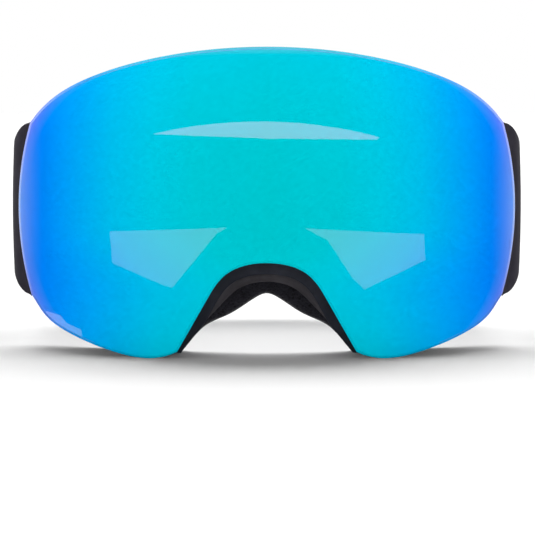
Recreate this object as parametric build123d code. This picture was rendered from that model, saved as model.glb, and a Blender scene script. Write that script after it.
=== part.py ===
"""Frameless ski goggles with a magnetic toric lens, hinged strap arms and an adjustable elastic strap.

Millimetres. The wearer looks along -Y, +X is on the right as seen from the front, +Z is up.
Shapes are drawn with Y = 0 at the front of the lens and Z = 0 on the surface that the goggles stand on.
save() then moves them along Y, so that the origin is the middle of the bottom of the bounding box.
"""
from build123d import *
from math import cos, radians, sin, sqrt
import os

# ---- driving dimensions -------------------------------------------------------------------------
LENS_HEIGHT = 111.3            # top of the lens above the surface it stands on
LENS_HALF_WIDTH = 91.9
LENS_RADIUS = 102.0            # horizontal radius of the outer lens surface
LENS_RADIUS_VERTICAL = 330.0
LENS_MIDDLE_Z = 56.0           # height of the lens surface's foremost point
FACE_RADIUS = 105.0            # horizontal radius of the head that the foam follows
ARM_MIDDLE_Z = 52.4            # mid-height of the strap arms and of the lens's side edges
FRAME_SIDE = 87.0              # where the frame's outline is cut straight, before any inset
LOBE_X = 43.0                  # lowest point of the lens's lower lobes

# ---- depth of each layer behind the outer lens surface --------------------------------------------
OUTER_LENS_BACK = 1.8
CARRIER_BACK = 4.6
INNER_LENS_BACK = 5.6
CHASSIS_FRONT = 4.9
CHASSIS_BACK = 8.8
FRAME_RIM_BACK = 10.6
MAGNET_THICKNESS = 1.6

# ---- depth of each layer behind the lens's front, at the bridge of the nose -------------------------
FLANGE_FRONT = 30.0
FLANGE_BACK = 32.0
BASE_FOAM_BACK = 40.0
MIDDLE_FOAM_BACK = 45.5
FLEECE_BACK = 48.0

# ---- outer and inner insets from the frame's outline -------------------------------------------------
CARRIER_INSET = (1.6, 7.8)
GASKET_INSET = (7.8, 11.6)
INNER_LENS_INSET = 8.0
CHASSIS_INSET = (2.0, 7.2)
RIM_INSET = (2.4, 12.0)
WALL_INSET = (3.6, 5.8)
VENT_FOAM_INSET = (5.8, 8.2)
FLANGE_INSET = (2.4, 15.0)
FOAM_INSET = (2.0, 16.0)
FOAM_DROP = 2.0                # foam and flange sit this much lower than the frame's outline

# ---- magnets and locating pegs, along the rings --------------------------------------------------------
MAGNET_LENGTH, MAGNET_WIDTH = 10.0, 4.0
MAGNET_PLACES = [(26.0, 104.9, -7), (62.0, 95.9, -26), (82.4, 57.0, 90), (62.0, 8.9, 20)]
PEG_PLACES = [(45.0, 101.4), (82.4, 40.0)]
PEG_RADIUS, PEG_HOLE_RADIUS = 1.1, 1.5
PEG_LENGTH = 3.0

# ---- vents ---------------------------------------------------------------------------------------
VENT_WIDTH = 14.0
TOP_VENTS = [-52.0, -31.2, -10.4, 10.4, 31.2, 52.0]
BOTTOM_VENTS = [47.0, 62.0]

# ---- strap arms and their hinges --------------------------------------------------------------------
HINGE_X, HINGE_Y = 90.0, 68.0
PIN_RADIUS = 1.2
BARREL_BORE_RADIUS = 1.25
BARREL_RADIUS = 2.5
BARREL_HALF = 9.7              # half the height of the arm's barrel
LUG_GAP = 0.3
LUG_HEIGHT = 6.0
ARM_THICKNESS = 2.2
ARM_HALF_HEIGHT = 25.0
SLOT_FRONT, SLOT_BACK = 88.2, 92.6
SLOT_HALF_HEIGHT = 22.9
BAR_X, BAR_LENGTH, BAR_THICKNESS = 93.2, 4.4, 2.4

# ---- strap -------------------------------------------------------------------------------------------
STRAP_WIDTH = 45.0
STRAP_THICKNESS = 1.6
STRAP_X = 92.4                 # middle of the strap's main layer where it runs straight back
ANCHOR_END = 112.0
STRAP_START = 115.0
STRAIGHT_END = 166.0
CORNER_RADIUS = 55.0
CORNER_SWEEP = 55.0
STRAP_DROOP = 3.0              # degrees that the strap leans down towards the back
TAIL_END = 164.0
SLIDER_START, SLIDER_LENGTH = 120.0, 15.0
KEEPER_START, KEEPER_LENGTH = 155.5, 6.0
GRIP_WIDTH, GRIP_THICKNESS = 3.0, 0.4
SIDES = {"left": -1, "right": 1}

# The rear of the strap is one arc between two corner arcs, tangent to both.
CORNER_X = STRAP_X - CORNER_RADIUS
REAR_RADIUS = CORNER_RADIUS + CORNER_X / cos(radians(CORNER_SWEEP))
REAR_CENTRE_Y = STRAIGHT_END - CORNER_X * sin(radians(CORNER_SWEEP)) / cos(radians(CORNER_SWEEP))
STRAP_BACK = REAR_CENTRE_Y + REAR_RADIUS + STRAP_THICKNESS / 2
DROOP = radians(STRAP_DROOP)
OVERALL_DEPTH = STRAP_START + (STRAP_BACK - STRAP_START) * cos(DROOP) + STRAP_WIDTH / 2 * sin(DROOP)


# ---- outlines ---------------------------------------------------------------------------------------
def mirrored_face(curves):
    """A flat sketch, seen from the front, from the right half of its outline, clockwise from the top."""
    half = Wire(curves)
    return Sketch() + Face(Wire(list(half.edges()) + list(mirror(half, Plane.YZ).edges())))


def moved(point, amount, *directions):
    """The point moved to the right of the outline's direction there, or along the mitre at a corner."""
    normals = [Vector(d.Y, -d.X).normalized() for d in map(Vector, directions)]
    mitre = normals[0] + normals[-1]
    return Vector(point) + mitre * (amount / (1 + normals[0].dot(normals[-1])))


def inset_spline(points, start, end, amount, before=None, after=None):
    """A spline through the points, moved inwards. Before and after are the outline's directions past its ends."""
    curve = Spline(*points, tangents=[start, end])
    inner = [moved(p, amount, curve.tangent_at(Vector(p))) for p in points[1:-1]]
    first = moved(points[0], amount, before or start, start)
    last = moved(points[-1], amount, end, after or end)
    return Spline(first, *inner, last, tangents=[start, end])


def perimeter(inset=0.0):
    """The lens outline, moved inwards by inset, with the nose arch left filled and the bottom flat across it."""
    top_corner, middle, bottom_corner = (87.0, 84.2), (LENS_HALF_WIDTH, ARM_MIDDLE_Z), (86.8, 20.6)
    side = ThreePointArc(top_corner, middle, bottom_corner)
    down, back = side.tangent_at(0), side.tangent_at(1)
    brow = inset_spline([(0, LENS_HEIGHT), (36.8, 108.0), (60.5, 101.8), (78.2, 92.9), top_corner],
                        (1, 0), (0.61, -0.79), inset, after=down)
    lobe = inset_spline([bottom_corner, (81.6, 13.8), (72.2, 7.8), (56.5, 2.2), (LOBE_X, 0.0)],
                        (-0.63, -0.78), (-1, 0), inset, before=back)
    edge = ThreePointArc(brow @ 1, moved(middle, inset, (0, -1)), lobe @ 0)
    return mirrored_face([brow, edge, lobe, Line(lobe @ 1, (0, inset))])


def outline(inset):
    """The frame's outline: the lens's, cut straight at the sides to make room for the strap arms."""
    return perimeter(inset) & Rectangle(2 * (FRAME_SIDE - inset), 400)


def nose_shape(points, grow=0.0):
    """The region under an arch through these points, from the top middle down, and on below the lens."""
    below = -40.0
    (x0, z0), (x1, z1) = points[-2:]
    leg = Vector(x1 - x0, z1 - z0).normalized()
    arch = inset_spline(points[:-1], (1, 0), leg, -grow)
    foot = (arch @ 1) + leg * (((arch @ 1).Y - below) / -leg.Y)
    return mirrored_face([arch, Line(arch @ 1, foot), Line(foot, (0, below))])


def lens_nose(grow=0.0):
    return nose_shape([(0, 34.8), (14.3, 30.8), (20.0, 23.8), (31.8, 3.0)], grow)


def frame_nose(grow=0.0):
    """The arch of the chassis and the frame's rim, which shows as a band inside the lens's arch."""
    return nose_shape([(0, 30.6), (12.8, 26.9), (18.0, 20.2), (23.0, 11.8), (30.0, 3.0)], grow)


def flange_nose():
    return nose_shape([(0, 26.6), (9.6, 24.4), (16.4, 18.4), (23.2, 11.0), (30.3, 2.6)])


def foam_nose():
    return nose_shape([(0, 21.2), (4.5, 19.7), (14.0, 14.0), (24.0, 8.9), (31.0, 1.6)])


def lobe_tips(grow=0.0):
    """What the lens loses under the inner ends of its lobes, which rise on an arc towards the nose."""
    radius = 24.0 - grow
    lobe = [Pos(side * LOBE_X, 24.0) * Circle(radius) for side in SIDES.values()]
    under = Rectangle(2 * LOBE_X, 24.0, align=(Align.CENTER, Align.MIN))
    return under - lobe[0] - lobe[1]


def through(sketch):
    """The sketch, stood up facing the front, as a bar along Y that reaches past the whole frame."""
    return extrude(Plane((0, 120, 0), x_dir=(1, 0, 0), z_dir=(0, -1, 0)) * sketch, 140, dir=(0, -1, 0))


def ring(insets, nose_outer, nose_inner):
    """The sketch between two insets from the frame's outline, and between two nose arches."""
    outer, inner = insets
    return (outline(outer) - nose_outer) - (outline(inner) - nose_inner)


# ---- curved layers ----------------------------------------------------------------------------------
def lens_core(depth):
    """Everything inside the surface that runs parallel to the outer lens surface, this deep behind it."""
    radius = LENS_RADIUS_VERTICAL - depth
    low, high = -LENS_MIDDLE_Z - 6, LENS_HEIGHT - LENS_MIDDLE_Z + 6
    a, b, c = [(LENS_RADIUS - LENS_RADIUS_VERTICAL + sqrt(radius ** 2 - h ** 2), h) for h in (low, 0, high)]
    profile = Face(Wire([ThreePointArc(a, b, c), Line(c, (0, high)), Line((0, high), (0, low)), Line((0, low), a)]))
    standing = Plane((0, LENS_RADIUS, LENS_MIDDLE_Z), x_dir=(0, -1, 0), z_dir=(-1, 0, 0)) * profile
    return revolve(standing, Axis((0, LENS_RADIUS, 0), (0, 0, 1)), 360)


def lens_layer(front, back):
    return lens_core(front) - lens_core(back)


def behind_face(depth):
    """Everything behind the face surface, whose front is this deep behind the lens's front."""
    middle = (0, depth + FACE_RADIUS, LENS_MIDDLE_Z)
    return Pos(middle) * Cylinder(FACE_RADIUS, 200)


def face_layer(front, back):
    return behind_face(front) - behind_face(back)


def lens_y(x, depth):
    return LENS_RADIUS - sqrt((LENS_RADIUS - depth) ** 2 - x ** 2)


def face_y(x, depth):
    return depth + FACE_RADIUS - sqrt(FACE_RADIUS ** 2 - x ** 2)


# ---- lens assembly ------------------------------------------------------------------------------------
def outer_lens():
    return through(perimeter() - lens_nose() - lobe_tips()) & lens_layer(0, OUTER_LENS_BACK)


def magnet_bars():
    """The outlines of all the magnets, as bars along Y, on both sides of the goggles."""
    blank = Rectangle(MAGNET_LENGTH, MAGNET_WIDTH)
    right = [Pos(x, z) * Rot(0, 0, turn) * blank for x, z, turn in MAGNET_PLACES]
    return through(Sketch() + right + [mirror(m, Plane.YZ) for m in right])


def peg_bars(radius):
    places = [(side * x, z) for x, z in PEG_PLACES for side in SIDES.values()]
    return through(Sketch() + [Pos(x, z) * Circle(radius) for x, z in places])


def lens_magnets():
    return magnet_bars() & lens_layer(CARRIER_BACK - MAGNET_THICKNESS, CARRIER_BACK)


def lens_carrier():
    section = ring(CARRIER_INSET, lens_nose(1.2), lens_nose(7.0)) - lobe_tips(1.6)
    pegs = peg_bars(PEG_RADIUS) & lens_layer(CARRIER_BACK - 1, CARRIER_BACK + PEG_LENGTH)
    return (through(section) & lens_layer(OUTER_LENS_BACK, CARRIER_BACK)) - lens_magnets() + pegs


def lens_gasket():
    section = ring(GASKET_INSET, lens_nose(7.0), lens_nose(10.8))
    return through(section) & lens_layer(OUTER_LENS_BACK, CARRIER_BACK)


def inner_lens():
    section = outline(INNER_LENS_INSET) - lens_nose(7.2)
    return through(section) & lens_layer(CARRIER_BACK, INNER_LENS_BACK)


# ---- frame ----------------------------------------------------------------------------------------------
def chassis_magnets():
    return magnet_bars() & lens_layer(CHASSIS_FRONT, CHASSIS_FRONT + MAGNET_THICKNESS)


def chassis_ring():
    section = ring(CHASSIS_INSET, frame_nose(), lens_nose(6.4))
    body = through(section) & lens_layer(CHASSIS_FRONT, CHASSIS_BACK)
    return body - chassis_magnets() - peg_bars(PEG_HOLE_RADIUS)


def vent_slot(x, z, height):
    """A slot through the frame's wall, midway between the rim and the flange."""
    front, back = lens_y(abs(x), FRAME_RIM_BACK), face_y(abs(x), FLANGE_FRONT)
    return Pos(x, (front + back) / 2, z) * Box(VENT_WIDTH, 0.55 * (back - front), height)


def hinge_lugs(side):
    """The two lugs that hold a hinge pin, above and below the arm's barrel."""
    reach = HINGE_X - 82.0
    web = Pos(side * (HINGE_X - reach / 2), HINGE_Y) * Rectangle(reach, 2 * BARREL_RADIUS)
    section = web + Pos(side * HINGE_X, HINGE_Y) * Circle(BARREL_RADIUS)
    section -= Pos(side * HINGE_X, HINGE_Y) * Circle(PIN_RADIUS)
    lower = ARM_MIDDLE_Z - BARREL_HALF - LUG_GAP - LUG_HEIGHT
    upper = ARM_MIDDLE_Z + BARREL_HALF + LUG_GAP
    return [Pos(0, 0, z) * extrude(section, LUG_HEIGHT) for z in (lower, upper)]


def frame():
    rim = through(ring(RIM_INSET, frame_nose(), lens_nose(9.0))) & lens_layer(CHASSIS_BACK, FRAME_RIM_BACK)
    wall = through(ring(WALL_INSET, frame_nose(0.8), frame_nose(3.0)))
    wall = (wall & lens_core(FRAME_RIM_BACK - 1)) - behind_face(FLANGE_FRONT + 1)
    flange = Pos(0, 0, -FOAM_DROP) * through(outline(FLANGE_INSET[0]) - (outline(FLANGE_INSET[1]) - lens_nose(8.0)))
    flange = (flange - through(flange_nose())) & face_layer(FLANGE_FRONT, FLANGE_BACK)
    for x in TOP_VENTS:
        wall -= vent_slot(x, LENS_HEIGHT - 10, 40)
    for x in BOTTOM_VENTS:
        wall -= vent_slot(x, 0, 30)
        wall -= vent_slot(-x, 0, 30)
    body = rim + wall + flange
    for side in SIDES.values():
        body += hinge_lugs(side)
    return body


def vent_foam():
    section = ring(VENT_FOAM_INSET, frame_nose(3.0), frame_nose(5.4))
    gap = 0.1
    return (through(section) & lens_core(FRAME_RIM_BACK + gap)) - behind_face(FLANGE_FRONT - gap)


def vent_foam_top():
    return vent_foam() & Pos(0, 60, 120) * Box(2 * 63.0, 200, 80)


def vent_foam_bottom(side):
    return vent_foam() & Pos(side * 54.5, 60, 0) * Box(33.0, 200, 40)


def foam(front, back):
    section = outline(FOAM_INSET[0]) - (outline(FOAM_INSET[1]) - lens_nose(9.0))
    bar = Pos(0, 0, -FOAM_DROP) * through(section) - through(foam_nose())
    return bar & face_layer(front, back)


# ---- strap arms -------------------------------------------------------------------------------------------
def arm_plate():
    """The right arm's curved plate, seen from above, cut to its outline, seen from the side."""
    outer = [(90.5, 62.6), (92.6, 65.5), (94.2, 69.5), (95.3, 76.0), (95.4, 84.0), (95.0, 91.0), (94.2, 97.0)]
    start, end = (0.6, 0.8), (-0.16, 0.99)
    far = inset_spline(outer, start, end, 0)
    near = inset_spline(outer, start, end, -ARM_THICKNESS)
    above = Face(Wire([far, Line(far @ 1, near @ 1), near, Line(near @ 0, far @ 0)]))
    tall = 29.5
    edge = Spline((62.0, tall), (66.5, 28.0), (71.0, 25.7), (76.0, ARM_HALF_HEIGHT), tangents=[(1, -0.1), (1, 0)])
    corner = 2.5
    top = Line(edge @ 1, (97.2 - corner, ARM_HALF_HEIGHT))
    round_end = RadiusArc(top @ 1, (97.2, ARM_HALF_HEIGHT - corner), corner)
    front = Line((62.0, 0), edge @ 0)
    rear = Line(round_end @ 1, (97.2, 0))
    half = Wire([front, edge, top, round_end, rear])
    side_on = Face(Wire(list(half.edges()) + list(mirror(half, Plane.XZ).edges())))
    bar = extrude(Plane((80, 0, ARM_MIDDLE_Z), x_dir=(0, 1, 0), z_dir=(1, 0, 0)) * side_on, 20, dir=(1, 0, 0))
    return extrude(Sketch() + above, 120) & bar


def strap_arm(side):
    hinge = Pos(HINGE_X, HINGE_Y, ARM_MIDDLE_Z)
    slot = Pos(BAR_X, (SLOT_FRONT + 100) / 2, ARM_MIDDLE_Z) * Box(12, 100 - SLOT_FRONT, 2 * SLOT_HALF_HEIGHT)
    bar = Pos(BAR_X, SLOT_BACK + BAR_LENGTH / 2, ARM_MIDDLE_Z - ARM_HALF_HEIGHT + 1)
    bar = bar * extrude(Rot(0, 0, 90) * SlotOverall(BAR_LENGTH, BAR_THICKNESS), 2 * ARM_HALF_HEIGHT - 2)
    lug_room = BARREL_HALF + 2 * LUG_GAP + LUG_HEIGHT + 3
    arm = arm_plate() - slot + bar - hinge * Cylinder(BARREL_RADIUS + LUG_GAP, 2 * lug_room)
    barrel = hinge * Cylinder(BARREL_RADIUS, 2 * BARREL_HALF)
    neck = Pos(HINGE_X + 2.0, HINGE_Y + 0.5, ARM_MIDDLE_Z) * Box(3.0, 4.0, 2 * BARREL_HALF)
    arm = arm + barrel + neck - hinge * Cylinder(BARREL_BORE_RADIUS, 2 * BARREL_HALF)
    return arm if side > 0 else mirror(arm, Plane.YZ)


def hinge_pin(side):
    half = BARREL_HALF + LUG_GAP + LUG_HEIGHT
    head = 0.8
    shank = Pos(0, 0, -half) * extrude(Circle(PIN_RADIUS), 2 * half)
    pin = shank + [Pos(0, 0, z) * extrude(Circle(PIN_RADIUS + 0.7), head) for z in (half, -half - head)]
    return Pos(side * HINGE_X, HINGE_Y, ARM_MIDDLE_Z) * pin


def strap_anchor(side):
    """The end of the strap, looped round the arm's bar and sewn flat on itself behind it."""
    gap = 0.15
    bar = Pos(BAR_X, SLOT_BACK + BAR_LENGTH / 2) * Rot(0, 0, 90)
    grow = 2 * (gap + STRAP_THICKNESS)
    loop = bar * SlotOverall(BAR_LENGTH + grow, BAR_THICKNESS + grow)
    wide, thin = 2.9, STRAP_THICKNESS
    near, far = 95.5, 103.5
    tail = Polygon((BAR_X - wide, near), (BAR_X + wide, near), (BAR_X + thin, far), (BAR_X + thin, ANCHOR_END),
                   (BAR_X - thin, ANCHOR_END), (BAR_X - thin, far), align=None)
    hole = bar * SlotOverall(BAR_LENGTH + 2 * gap, BAR_THICKNESS + 2 * gap)
    anchor = Pos(0, 0, ARM_MIDDLE_Z - STRAP_WIDTH / 2) * extrude(loop + tail - hole, STRAP_WIDTH)
    return anchor if side > 0 else mirror(anchor, Plane.YZ)


# ---- strap ----------------------------------------------------------------------------------------------------
def drooped(shape):
    """Leans a strap piece down towards the back, about the front end of the strap."""
    return shape.rotate(Axis((0, STRAP_START, ARM_MIDDLE_Z), (1, 0, 0)), -STRAP_DROOP)


def upright(sketch, height):
    return Pos(0, 0, ARM_MIDDLE_Z - height / 2) * extrude(sketch, height)


def strap_line(shift, start=STRAP_START):
    """The strap's line seen from above, moved outwards by shift, from the right arm round to the left one."""
    turn = radians(CORNER_SWEEP)
    half_turn = turn / 2
    corner, rear = CORNER_RADIUS + shift, REAR_RADIUS + shift
    points = {}
    for side in SIDES.values():
        points[side] = [(side * (STRAP_X + shift), start), (side * (STRAP_X + shift), STRAIGHT_END),
                        (side * (CORNER_X + corner * cos(half_turn)), STRAIGHT_END + corner * sin(half_turn)),
                        (side * (CORNER_X + corner * cos(turn)), STRAIGHT_END + corner * sin(turn))]
    a, b, c, d = points[1]
    h, g, f, e = points[-1]
    back = ThreePointArc(d, (0, REAR_CENTRE_Y + rear), e)
    return [Line(a, b), ThreePointArc(b, c, d), back, ThreePointArc(e, f, g), Line(g, h)]


def strap_band():
    half = STRAP_THICKNESS / 2
    outer, inner = strap_line(half), strap_line(-half)
    ends = [Line(inner[0] @ 0, outer[0] @ 0), Line(outer[-1] @ 1, inner[-1] @ 1)]
    return drooped(upright(Sketch() + Face(Wire([*outer, *inner, *ends])), STRAP_WIDTH))


def strap_tail(side):
    """The strap's free end, folded back along the outside of the main layer, under the slider and the keeper."""
    x = side * (STRAP_X + STRAP_THICKNESS)
    middle = (STRAP_START + TAIL_END) / 2
    return drooped(upright(Pos(x, middle) * Rectangle(STRAP_THICKNESS, TAIL_END - STRAP_START), STRAP_WIDTH))


def band_round_strap(side, start, length, gap, wall, wall_end):
    """A closed band round both layers of the strap: clear by gap, with faces wall thick and ends wall_end thick."""
    x = side * (STRAP_X + STRAP_THICKNESS / 2)
    place = Pos(x, start + length / 2, ARM_MIDDLE_Z)
    inside = Box(2 * STRAP_THICKNESS + 2 * gap, length + 2, STRAP_WIDTH + 2 * gap)
    outside = Box(2 * (STRAP_THICKNESS + gap + wall), length, STRAP_WIDTH + 2 * (gap + wall_end))
    return place * (outside - inside), place, inside


def strap_slider(side):
    """A three-bar slider: two bars on the outside, one on the inside and a rail at each edge of the strap."""
    gap, wall, rail, bar = 0.3, 1.4, 2.6, 3.6
    body, place, inside = band_round_strap(side, SLIDER_START, SLIDER_LENGTH, gap, wall, rail)
    rails = (edge for edge in body.edges() if edge.length > SLIDER_LENGTH - 0.1 and abs(edge.tangent_at(0).Y) > 0.9)
    corners = [e for e in rails if abs(e.center().Z - ARM_MIDDLE_Z) > STRAP_WIDTH / 2 + gap + rail - 0.1]
    body = fillet(corners, 1.2)
    out = side * (STRAP_THICKNESS + gap + wall / 2)
    window = STRAP_WIDTH + 2 * gap
    body -= place * Pos(out, 0, 0) * Box(wall + 0.2, SLIDER_LENGTH - 2 * bar, window)
    side_window = (SLIDER_LENGTH - bar) / 2
    for end in (-1, 1):
        body -= place * Pos(-out, end * (SLIDER_LENGTH - side_window) / 2, 0) * Box(wall + 0.2, side_window, window)
    return drooped(body)


def strap_keeper(side):
    body, _, _ = band_round_strap(side, KEEPER_START, KEEPER_LENGTH, 0.0, 0.7, 0.7)
    return drooped(body)


def grip_strips():
    """Three rubber lines along the inside of the strap's rear, which stop it slipping on a helmet."""
    half = STRAP_THICKNESS / 2
    inside, outside = strap_line(-half - GRIP_THICKNESS)[1:4], strap_line(-half)[1:4]
    ends = [Line(inside[0] @ 0, outside[0] @ 0), Line(outside[-1] @ 1, inside[-1] @ 1)]
    section = Sketch() + Face(Wire([*outside, *inside, *ends]))
    return drooped(Compound([Pos(0, 0, rise) * upright(section, GRIP_WIDTH).solid() for rise in (-13.0, 0.0, 13.0)]))


# ---- output ------------------------------------------------------------------------------------------------------
def save(name, shape):
    solids = shape.solids()
    kept = solids[0] if len(solids) == 1 else Compound(solids)
    export_step(Pos(0, -OVERALL_DEPTH / 2, 0) * kept, f"parts/{name}.step")


def main():
    os.makedirs("parts", exist_ok=True)
    save("outer_lens", outer_lens())
    save("lens_carrier", lens_carrier())
    save("lens_gasket", lens_gasket())
    save("inner_lens", inner_lens())
    save("lens_magnets", lens_magnets())
    save("chassis_ring", chassis_ring())
    save("chassis_magnets", chassis_magnets())
    save("frame", frame())
    save("vent_foam_top", vent_foam_top())
    save("face_foam_base", foam(FLANGE_BACK, BASE_FOAM_BACK))
    save("face_foam_middle", foam(BASE_FOAM_BACK, MIDDLE_FOAM_BACK))
    save("face_fleece", foam(MIDDLE_FOAM_BACK, FLEECE_BACK))
    save("strap_band", strap_band())
    save("strap_grip_strips", grip_strips())
    for name, side in SIDES.items():
        save(f"vent_foam_bottom_{name}", vent_foam_bottom(side))
        save(f"strap_arm_{name}", strap_arm(side))
        save(f"hinge_pin_{name}", hinge_pin(side))
        save(f"strap_anchor_{name}", strap_anchor(side))
        save(f"strap_tail_{name}", strap_tail(side))
        save(f"strap_slider_{name}", strap_slider(side))
        save(f"strap_keeper_{name}", strap_keeper(side))


if __name__ == "__main__":
    main()
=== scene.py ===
"""Looks of the ski goggles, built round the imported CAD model.

Shapes are drawn in millimetres with y = 0 at the front of the lens and z = 0 on the floor, as seen from the
front with +x on the right. to_row() turns them into metres in the row frame.
"""

from math import asin, cos, pi, radians, sin, sqrt, tan

import bmesh
import bpy
import numpy as np
from mathutils import Matrix, Vector

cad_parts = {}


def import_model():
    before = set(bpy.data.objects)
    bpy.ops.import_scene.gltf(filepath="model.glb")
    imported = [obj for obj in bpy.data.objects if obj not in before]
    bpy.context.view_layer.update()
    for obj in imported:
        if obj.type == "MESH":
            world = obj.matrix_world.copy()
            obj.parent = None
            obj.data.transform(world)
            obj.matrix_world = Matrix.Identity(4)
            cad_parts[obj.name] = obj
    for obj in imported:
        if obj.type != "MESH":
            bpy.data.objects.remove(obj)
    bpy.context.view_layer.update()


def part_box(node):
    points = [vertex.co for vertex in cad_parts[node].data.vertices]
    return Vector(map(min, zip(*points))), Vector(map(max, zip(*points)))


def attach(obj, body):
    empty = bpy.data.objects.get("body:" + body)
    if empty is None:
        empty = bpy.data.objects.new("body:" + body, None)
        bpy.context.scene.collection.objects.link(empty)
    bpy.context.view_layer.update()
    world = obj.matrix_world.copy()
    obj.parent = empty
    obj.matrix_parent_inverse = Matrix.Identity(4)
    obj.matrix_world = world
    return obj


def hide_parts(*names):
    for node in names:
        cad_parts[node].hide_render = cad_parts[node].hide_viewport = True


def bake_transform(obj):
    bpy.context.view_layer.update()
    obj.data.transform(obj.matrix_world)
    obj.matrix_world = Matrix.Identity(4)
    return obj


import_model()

# ---- sizes, in millimetres ----
MM = 0.001
LENS_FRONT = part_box("outer_lens")[0].y        # row-frame y of the front of the lens, in metres
LENS_HEIGHT = 111.3
LENS_HALF_WIDTH = 91.9
LENS_RADIUS = 102.0                           # horizontal radius of the outer lens surface
LENS_RADIUS_VERTICAL = 330.0
LENS_MIDDLE_Z = 56.0
FACE_RADIUS = 105.0
SIDE_MIDDLE_Z = 52.4                          # mid-height of the strap arms and the lens's sides
FRAME_SIDE = 87.0                             # where the frame's outline is cut straight, before any inset
LOBE_X, LOBE_RADIUS = 43.0, 24.0
FOAM_DROP = 2.0

OUTER_LENS_BACK, CARRIER_BACK, INNER_LENS_BACK = 1.8, 4.6, 5.6
CHASSIS_FRONT, CHASSIS_BACK, RIM_BACK = 4.9, 8.8, 10.6
FLANGE_FRONT, FLANGE_BACK, BASE_FOAM_BACK, MIDDLE_FOAM_BACK, FLEECE_BACK = 30.0, 32.0, 40.0, 45.5, 48.0

HINGE_X, HINGE_Y = 90.0, 68.0
BAR_X, BAR_Y = 93.2, 94.8
STRAP_X, STRAP_THICKNESS, STRAP_WIDTH = 92.4, 1.6, 45.0
DROOP_START, DROOP = 115.0, radians(3.0)
SIDES = {"left": -1, "right": 1}

LENS_NOSE = [(0, 34.8), (14.3, 30.8), (20.0, 23.8), (31.8, 3.0)]
FRAME_NOSE = [(0, 30.6), (12.8, 26.9), (18.0, 20.2), (23.0, 11.8), (30.0, 3.0)]
FLANGE_NOSE = [(0, 26.6), (9.6, 24.4), (16.4, 18.4), (23.2, 11.0), (30.3, 2.6)]
FOAM_NOSE = [(0, 23.0), (1.8, 22.3), (5.0, 20.4), (14.0, 14.6), (24.0, 9.3), (31.0, 1.6)]


# ---- curves in the flat, seen from the front ----
def unit(vector):
    vector = np.asarray(vector, float)
    return vector / np.linalg.norm(vector)


def moved(point, amount, *directions):
    """The point moved to the right of the outline's direction there, or along the mitre at a corner."""
    normals = [np.array([d[1], -d[0]]) for d in map(unit, directions)]
    mitre = normals[0] + normals[-1]
    return np.asarray(point, float) + mitre * amount / (1 + normals[0] @ normals[-1])


def slopes(points, start, end):
    """The directions in which the smoothest curve passes through the points."""
    p = np.asarray(points, float)
    gap = np.linalg.norm(np.diff(p, axis=0), axis=1)
    matrix = np.eye(len(p))
    wanted = np.zeros_like(p)
    wanted[0], wanted[-1] = unit(start), unit(end)
    for i in range(1, len(p) - 1):
        matrix[i, i - 1:i + 2] = gap[i], 2 * (gap[i - 1] + gap[i]), gap[i - 1]
        wanted[i] = 3 * (gap[i] * (p[i] - p[i - 1]) / gap[i - 1] + gap[i - 1] * (p[i + 1] - p[i]) / gap[i])
    return np.linalg.solve(matrix, wanted)


def spline(points, start, end, count):
    """A smooth curve through the points, leaving along start and arriving along end."""
    p = np.asarray(points, float)
    slope = slopes(p, start, end)
    gap = np.linalg.norm(np.diff(p, axis=0), axis=1)
    knots = np.concatenate([[0], np.cumsum(gap)])
    along = np.linspace(0, knots[-1], count)
    i = np.clip(np.searchsorted(knots, along, side="right") - 1, 0, len(gap) - 1)
    t = ((along - knots[i]) / gap[i])[:, None]
    reach = gap[i][:, None]
    return ((2 * t ** 3 - 3 * t ** 2 + 1) * p[i] + (t ** 3 - 2 * t ** 2 + t) * reach * slope[i]
            + (3 * t ** 2 - 2 * t ** 3) * p[i + 1] + (t ** 3 - t ** 2) * reach * slope[i + 1])


def inset_spline(points, start, end, amount, count, before=None, after=None):
    """The spline through the points, moved inwards. Before and after are the directions past its ends."""
    directions = slopes(points, start, end)
    inner = [moved(p, amount, d) for p, d in zip(points[1:-1], directions[1:-1])]
    first = moved(points[0], amount, before or start, start)
    last = moved(points[-1], amount, end, after or end)
    return spline([first, *inner, last], start, end, count)


def circle_through(a, b, c):
    """Centre of the circle through three points."""
    a, b, c = (np.asarray(p, float) for p in (a, b, c))
    matrix = 2 * np.array([b - a, c - a])
    return np.linalg.solve(matrix, [b @ b - a @ a, c @ c - a @ a])


def heading(path):
    """The direction in which a path runs at each of its points."""
    ahead = np.gradient(path, axis=0)
    return ahead / np.linalg.norm(ahead, axis=1, keepdims=True)


def on_circle(centre, radius, turns):
    """Points of a circle at these angles."""
    return np.asarray(centre) + radius * np.stack([np.cos(turns), np.sin(turns)], 1)


def arc(a, b, c, count):
    centre = circle_through(a, b, c)
    start, end = (np.arctan2(*(np.asarray(p) - centre)[::-1]) for p in (a, c))
    return on_circle(centre, np.linalg.norm(np.asarray(a) - centre), np.linspace(start, end, count))


def perimeter(inset):
    """The right half of the lens outline, moved inwards: brow, side and lobe, clockwise from the top."""
    top, middle, bottom = (87.0, 84.2), (LENS_HALF_WIDTH, SIDE_MIDDLE_Z), (86.8, 20.6)
    centre = circle_through(top, middle, bottom)
    down, back = ((p[1] - centre[1], centre[0] - p[0]) for p in (top, bottom))
    brow = inset_spline([(0, LENS_HEIGHT), (36.8, 108.0), (60.5, 101.8), (78.2, 92.9), top],
                        (1, 0), (0.61, -0.79), inset, 50, after=down)
    lobe = inset_spline([bottom, (81.6, 13.8), (72.2, 7.8), (56.5, 2.2), (LOBE_X, 0.0)],
                        (-0.63, -0.78), (-1, 0), inset, 26, before=back)
    side = arc(brow[-1], moved(middle, inset, (0, -1)), lobe[0], 30)
    return brow, side, lobe


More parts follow.
